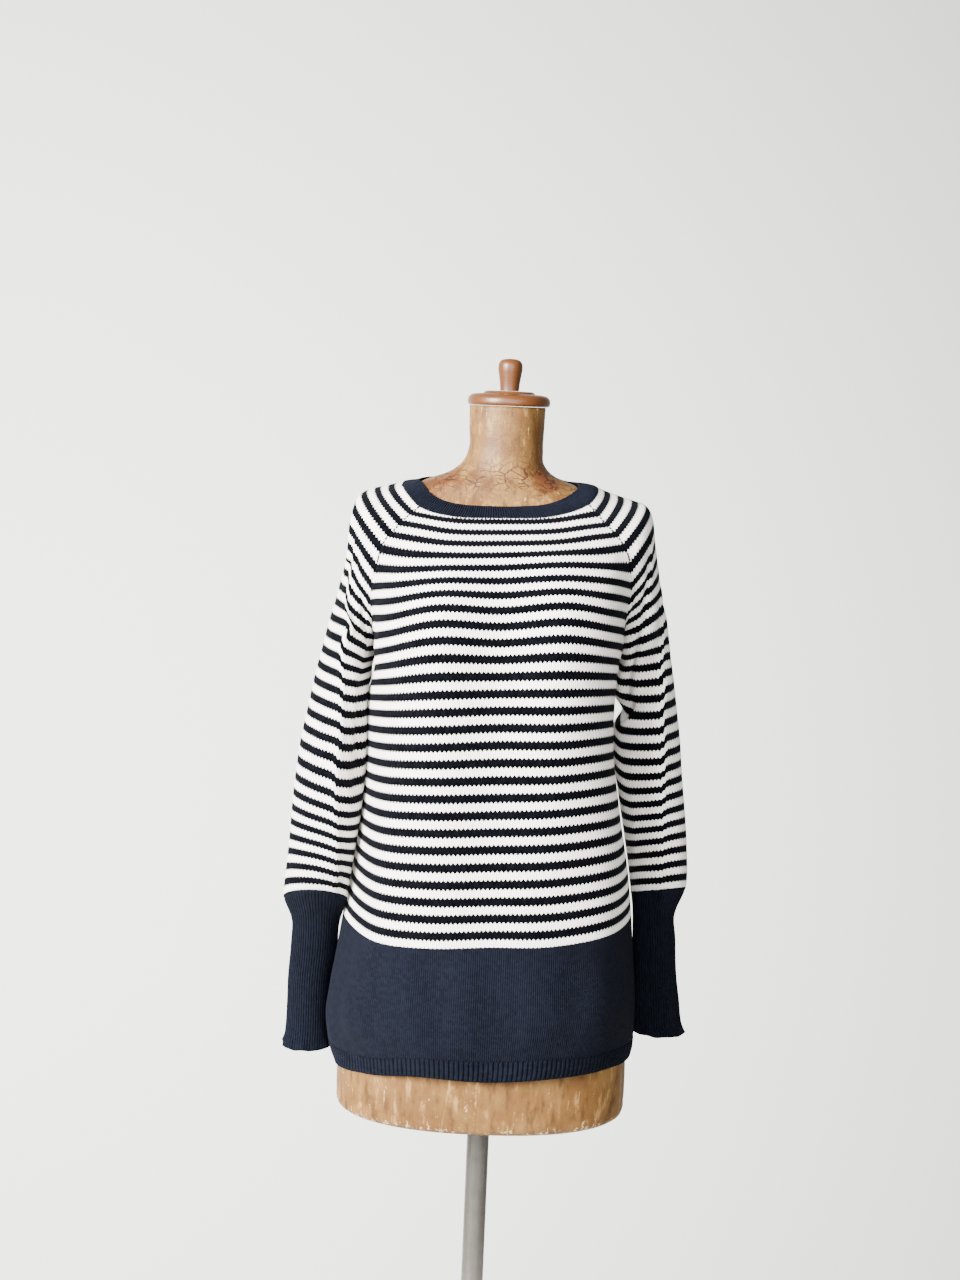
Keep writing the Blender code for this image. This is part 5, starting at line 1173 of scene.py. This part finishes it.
def dress_form_skin():
    """The rings of the torso and neck, smooth through the same sections as the solid."""
    table = [(r[0], *r) for r in FORM_RINGS]
    heights = []
    for a, b in zip(FORM_RINGS[:-1], FORM_RINGS[1:]):
        parts = max(1, int(round((b[0] - a[0]) / FORM_FINE_STEP)))
        heights += [a[0] + (b[0] - a[0]) * k / parts for k in range(parts)]
    heights.append(FORM_RINGS[-1][0])
    rings = []
    for z in heights:
        z, half, front, back, square, middle = line(table, z)
        angle = np.linspace(0, 2 * math.pi, FORM_FINE_SIDES, endpoint=False)
        c, s = np.cos(angle), np.sin(angle)
        x = middle + half * np.sign(c) * np.abs(c) ** (2 / square)
        y = np.where(s > 0, back, front) * np.sign(s) * np.abs(s) ** (2 / square)
        ring = np.stack([x, y, np.full_like(x, z)], axis=1)
        ring = even(np.concatenate([ring, ring[:1]]), FORM_FINE_SIDES)[:-1]
        rings.append(ring)
    return np.array(rings)


def form_piece(rings, material):
    """The form with the pole's socket in it, and where its paper is worn and its varnish crazed."""
    sockets = [circle(BORE_RADIUS, rings.shape[1], z) for z in (SOCKET_TOP, FORM_RINGS[0][0])]
    points, faces = closed_tube([*sockets, *rings], (0, 0, SOCKET_TOP), (0, 0, FORM_RINGS[-1][0]))
    z = points[:, 2]
    worn = hump(z, 0.664, 0.006) + 0.3 * hump(z, 0.70, 0.03) + 0.3 * (z > 1.47)
    creased = hump(z, 1.416, 0.018) * (points[:, 1] < 0.03) + 0.2 * hump(z, 1.46, 0.03)
    made = put("dress_form_skin", points, faces, material, {"worn": worn, "creased": creased})
    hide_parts("dress_form")


def turned_piece(name, profile, sides, material):
    """A piece turned on a lathe; its profile runs up the outside, from the axis back to the axis."""
    rings = [circle(radius, sides, z) for radius, z in profile[1:-1]]
    points, faces = closed_tube(rings, (0, 0, profile[0][1]), (0, 0, profile[-1][1]))
    made = put(name + "_turned", points, faces, material)
    made.data.set_sharp_from_angle(angle=math.radians(TURNED_SHARP))
    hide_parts(name)


def rounded(profile, steps=5):
    """A turned profile with its curved stretches made smooth and its ends left on the axis."""
    inner = [(r, 0.0, z) for r, z in profile[1:-1]]
    curve = through(inner, steps=steps)
    return [profile[0]] + [(max(float(p[0]), 0.0), float(p[2])) for p in curve] + [profile[-1]]


def stitch_tree(material):
    """Geometry Nodes: a bead of yarn repeated along a line, flat on the cloth and slanted across the line."""
    tree = bpy.data.node_groups.new("stitch_row", "GeometryNodeTree")
    face = tree.interface
    face.new_socket("Line", in_out="INPUT", socket_type="NodeSocketGeometry")
    for name, value in STITCH_SIZES.items():
        face.new_socket(name, in_out="INPUT", socket_type="NodeSocketFloat").default_value = value
    face.new_socket("Stitches", in_out="OUTPUT", socket_type="NodeSocketGeometry")
    given = tree.nodes.new("NodeGroupInput").outputs
    result = tree.nodes.new("NodeGroupOutput")
    path = node(tree, "GeometryNodeMeshToCurve", None, {"Mesh": given["Line"]})
    links = {"Curve": path, "Length": given["Spacing"]}
    path = node(tree, "GeometryNodeResampleCurve", {"mode": "LENGTH"}, links)
    bead = node(tree, "GeometryNodeMeshUVSphere", None, {"Segments": 8, "Rings": 5, "Radius": 0.5})
    links = {"X": given["Length"], "Y": given["Width"], "Z": given["Height"]}
    size = node(tree, "ShaderNodeCombineXYZ", None, links)
    lie = node(tree, "GeometryNodeInputNamedAttribute", {"data_type": "FLOAT_VECTOR"}, {"Name": "lie"})
    run = node(tree, "GeometryNodeInputTangent")
    up = node(tree, "FunctionNodeAlignRotationToVector", {"axis": "Z"}, {"Vector": lie})
    turned = node(tree, "FunctionNodeAlignRotationToVector", {"axis": "X", "pivot_axis": "Z"},
                  {"Rotation": up, "Vector": run})
    spin = node(tree, "FunctionNodeAxisAngleToRotation", None, {"Axis": (0, 0, 1), "Angle": given["Turn"]})
    slanted = node(tree, "FunctionNodeRotateRotation", {"rotation_space": "LOCAL"},
                   {"Rotation": turned, "Rotate By": spin})
    placed = node(tree, "GeometryNodeInstanceOnPoints", None,
                  {"Points": path, "Instance": bead, "Rotation": slanted, "Scale": size})
    real = node(tree, "GeometryNodeRealizeInstances", None, {0: placed})
    finished = node(tree, "GeometryNodeSetMaterial", None, {"Geometry": real, "Material": material})
    tree.links.new(finished, result.inputs[0])
    return tree


def stitch_rows(name, lines, tree, slot, **sizes):
    """Stitches along several lines, each a list of points with the cloth's normals, as one plain mesh."""
    points, edges, lie = [], [], []
    for path, normal in lines:
        edges += [(len(points) + k, len(points) + k + 1) for k in range(len(path) - 1)]
        points += [tuple(map(float, p)) for p in path]
        lie += [tuple(map(float, n)) for n in normal]
    mesh = bpy.data.meshes.new(name + "_line")
    mesh.from_pydata(points, edges, [])
    stored = mesh.attributes.new("lie", "FLOAT_VECTOR", "POINT")
    stored.data.foreach_set("vector", np.array(lie, np.float32).ravel())
    carrier = stand(name + "_line", mesh)
    grow = carrier.modifiers.new("stitches", "NODES")
    grow.node_group = tree
    for item in tree.interface.items_tree:
        if item.item_type == "SOCKET" and item.in_out == "INPUT" and item.name in sizes:
            grow[item.identifier] = float(sizes[item.name])
    graph = bpy.context.evaluated_depsgraph_get()
    stitched = bpy.data.meshes.new_from_object(carrier.evaluated_get(graph), depsgraph=graph)
    bpy.data.objects.remove(carrier)
    stitched.name = name
    stitched.shade_smooth()
    carry(name, stitched)


camera_and_light()
floor()
striped_body = knit_material("cotton_stocking_stitch_body", NAVY_FROM_ROW)
striped_sleeve = knit_material("cotton_stocking_stitch_sleeve", CUFF_SEAM_ROW + 1)
plain_navy = knit_material("cotton_rib_navy", ribs=True)
paper = aged_paper()
wood = varnished_wood()
steel = tarnished_steel()

form_rings = dress_form_skin()
form_piece(form_rings, paper)
form_tree = tree_of(form_rings.reshape(-1, 3), ring_quads(*form_rings.shape[:2]))

cloth = work_out_skin()
held = np.zeros(len(cloth.points), bool)
for piece, edge in (("neckband", 0), ("hem_rib", -1), ("cuff_right", -1), ("cuff_left", -1)):
    held[cloth.index[piece][edge]] = True
cloth.smooth(held, SMOOTHINGS, SMOOTH_SHARE)
normal = cloth.normals()
# Striped pieces: row numbers, which way the columns run, flat size, area of the cut.
STRIPED = {
    "front": (BODY_ROWS, 1, (0.50, 0.69), 0.300), "back": (BODY_ROWS, 1, (0.50, 0.71), 0.268),
    "sleeve_right": (SLEEVE_ROWS, -1, (0.34, 0.56), 0.122),
    "sleeve_left": (SLEEVE_ROWS, 1, (0.34, 0.56), 0.118),
}
for piece, (rows, turn, _, _) in STRIPED.items():
    high = crease_heights(FOLDS, piece, cloth.grid(piece)[:, ::turn], rows)[:, ::turn]
    inside = cloth.index[piece][:, 1:-1]
    cloth.points[inside] += high[:, 1:-1, None] * normal[inside]
clear_of_form(cloth, form_tree)
clear_of_body(cloth)

normal = cloth.normals()
lines = {}
for piece, (rows, turn, flat, area) in STRIPED.items():
    g = finer(cloth.grid(piece))
    n = finer(normal[cloth.index[piece]])
    n /= np.linalg.norm(n, axis=-1)[..., None]
    fine_rows = finer_rows(rows)
    high = crease_heights(CREASES, piece, g[:, ::turn], fine_rows, edge=0.8)[:, ::turn]
    high[:, [0, -1]] = 0
    g = g + high[..., None] * n
    row, wale = rows_and_wales(piece, g, fine_rows)
    if piece in PRESSED:
        row = level_rows(piece, g[:, ::turn], row[:, ::turn], fine_rows)[:, ::turn]
    out = grid_normals(g)
    for border in (np.s_[:, 0], np.s_[:, -1], np.s_[0], np.s_[-1]):
        out[border] = n[border]
    finish = striped_body if piece in ("front", "back") else striped_sleeve
    made = shell(piece + "_knit", g, out, WALL, 2, finish, row, wale)
    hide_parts(piece)
    lines[piece] = (g, out)

# Ribbed bands: ribs, columns to a rib, rows of quads, flat size, rise of a crest, flare of the lower edge.
bands = (
    ("neckband", NECK_RIBS, 6, 14, (0.60, 0.021), RIB_RISE * 1.3, 0.0),
    ("hem_rib", HEM_RIBS, 8, 14, (0.97, 0.023), RIB_RISE * 1.3, 0.0),
    ("cuff_right", CUFF_RIBS, 8, 48, (0.172, 0.205), RIB_RISE * 0.7, 0.0016),
    ("cuff_left", CUFF_RIBS, 8, 48, (0.160, 0.192), RIB_RISE * 0.7, 0.0016),
)
for piece, ribs, per_rib, down, flat, rise, flare in bands:
    g, n = cloth.grid(piece), normal[cloth.index[piece]]
    join = 2 * FRONT_SIDE + 2 * SLEEVE_SIDE if piece == "neckband" else 0
    made = ribbed_band(piece + "_knit", g, n, ribs, per_rib, down, plain_navy, rise, flare,
                       join)
    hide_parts(*(("hem_rib_front", "hem_rib_back") if piece == "hem_rib" else (piece,)))
    lines[piece] = (g, n)

# Stitches that stand on the cloth: the linking of the navy bands, and the marks of the raglan's shaping.
stitches = stitch_tree(cotton_yarn())
marks = []
fine_body = finer_rows(BODY_ROWS)
for piece in ("front", "back"):
    g, n = lines[piece]
    for column in (0, -1):
        for stripe in range(MARKED_STRIPES):
            inside = (fine_body >= stripe + MARK_FROM) & (fine_body <= stripe + MARK_TO)
            out = n[inside, column]
            marks.append((g[inside, column] + out * WALL / 2, out))
stitch_rows("raglan_fashioning_marks", marks, stitches, "navy_rib", **MARK_SIZES)
for piece, spacing in LINK_SPACING.items():
    g, n = lines[piece]
    edge = -1 if piece == "neckband" else 0
    path = [(g[edge] + n[edge] * RIB_WALL / 2, n[edge])]
    stitch_rows(piece + "_linking", path, stitches, "navy_rib", Spacing=spacing, **LINK_SIZES)

turned_piece("neck_cap", rounded(NECK_CAP, 4), 72, wood)
turned_piece("cap_knob", rounded(CAP_KNOB, 6), 48, wood)
turned_piece("pole", POLE, 48, steel)
turned_piece("stand_base", STAND_BASE, 96, steel)
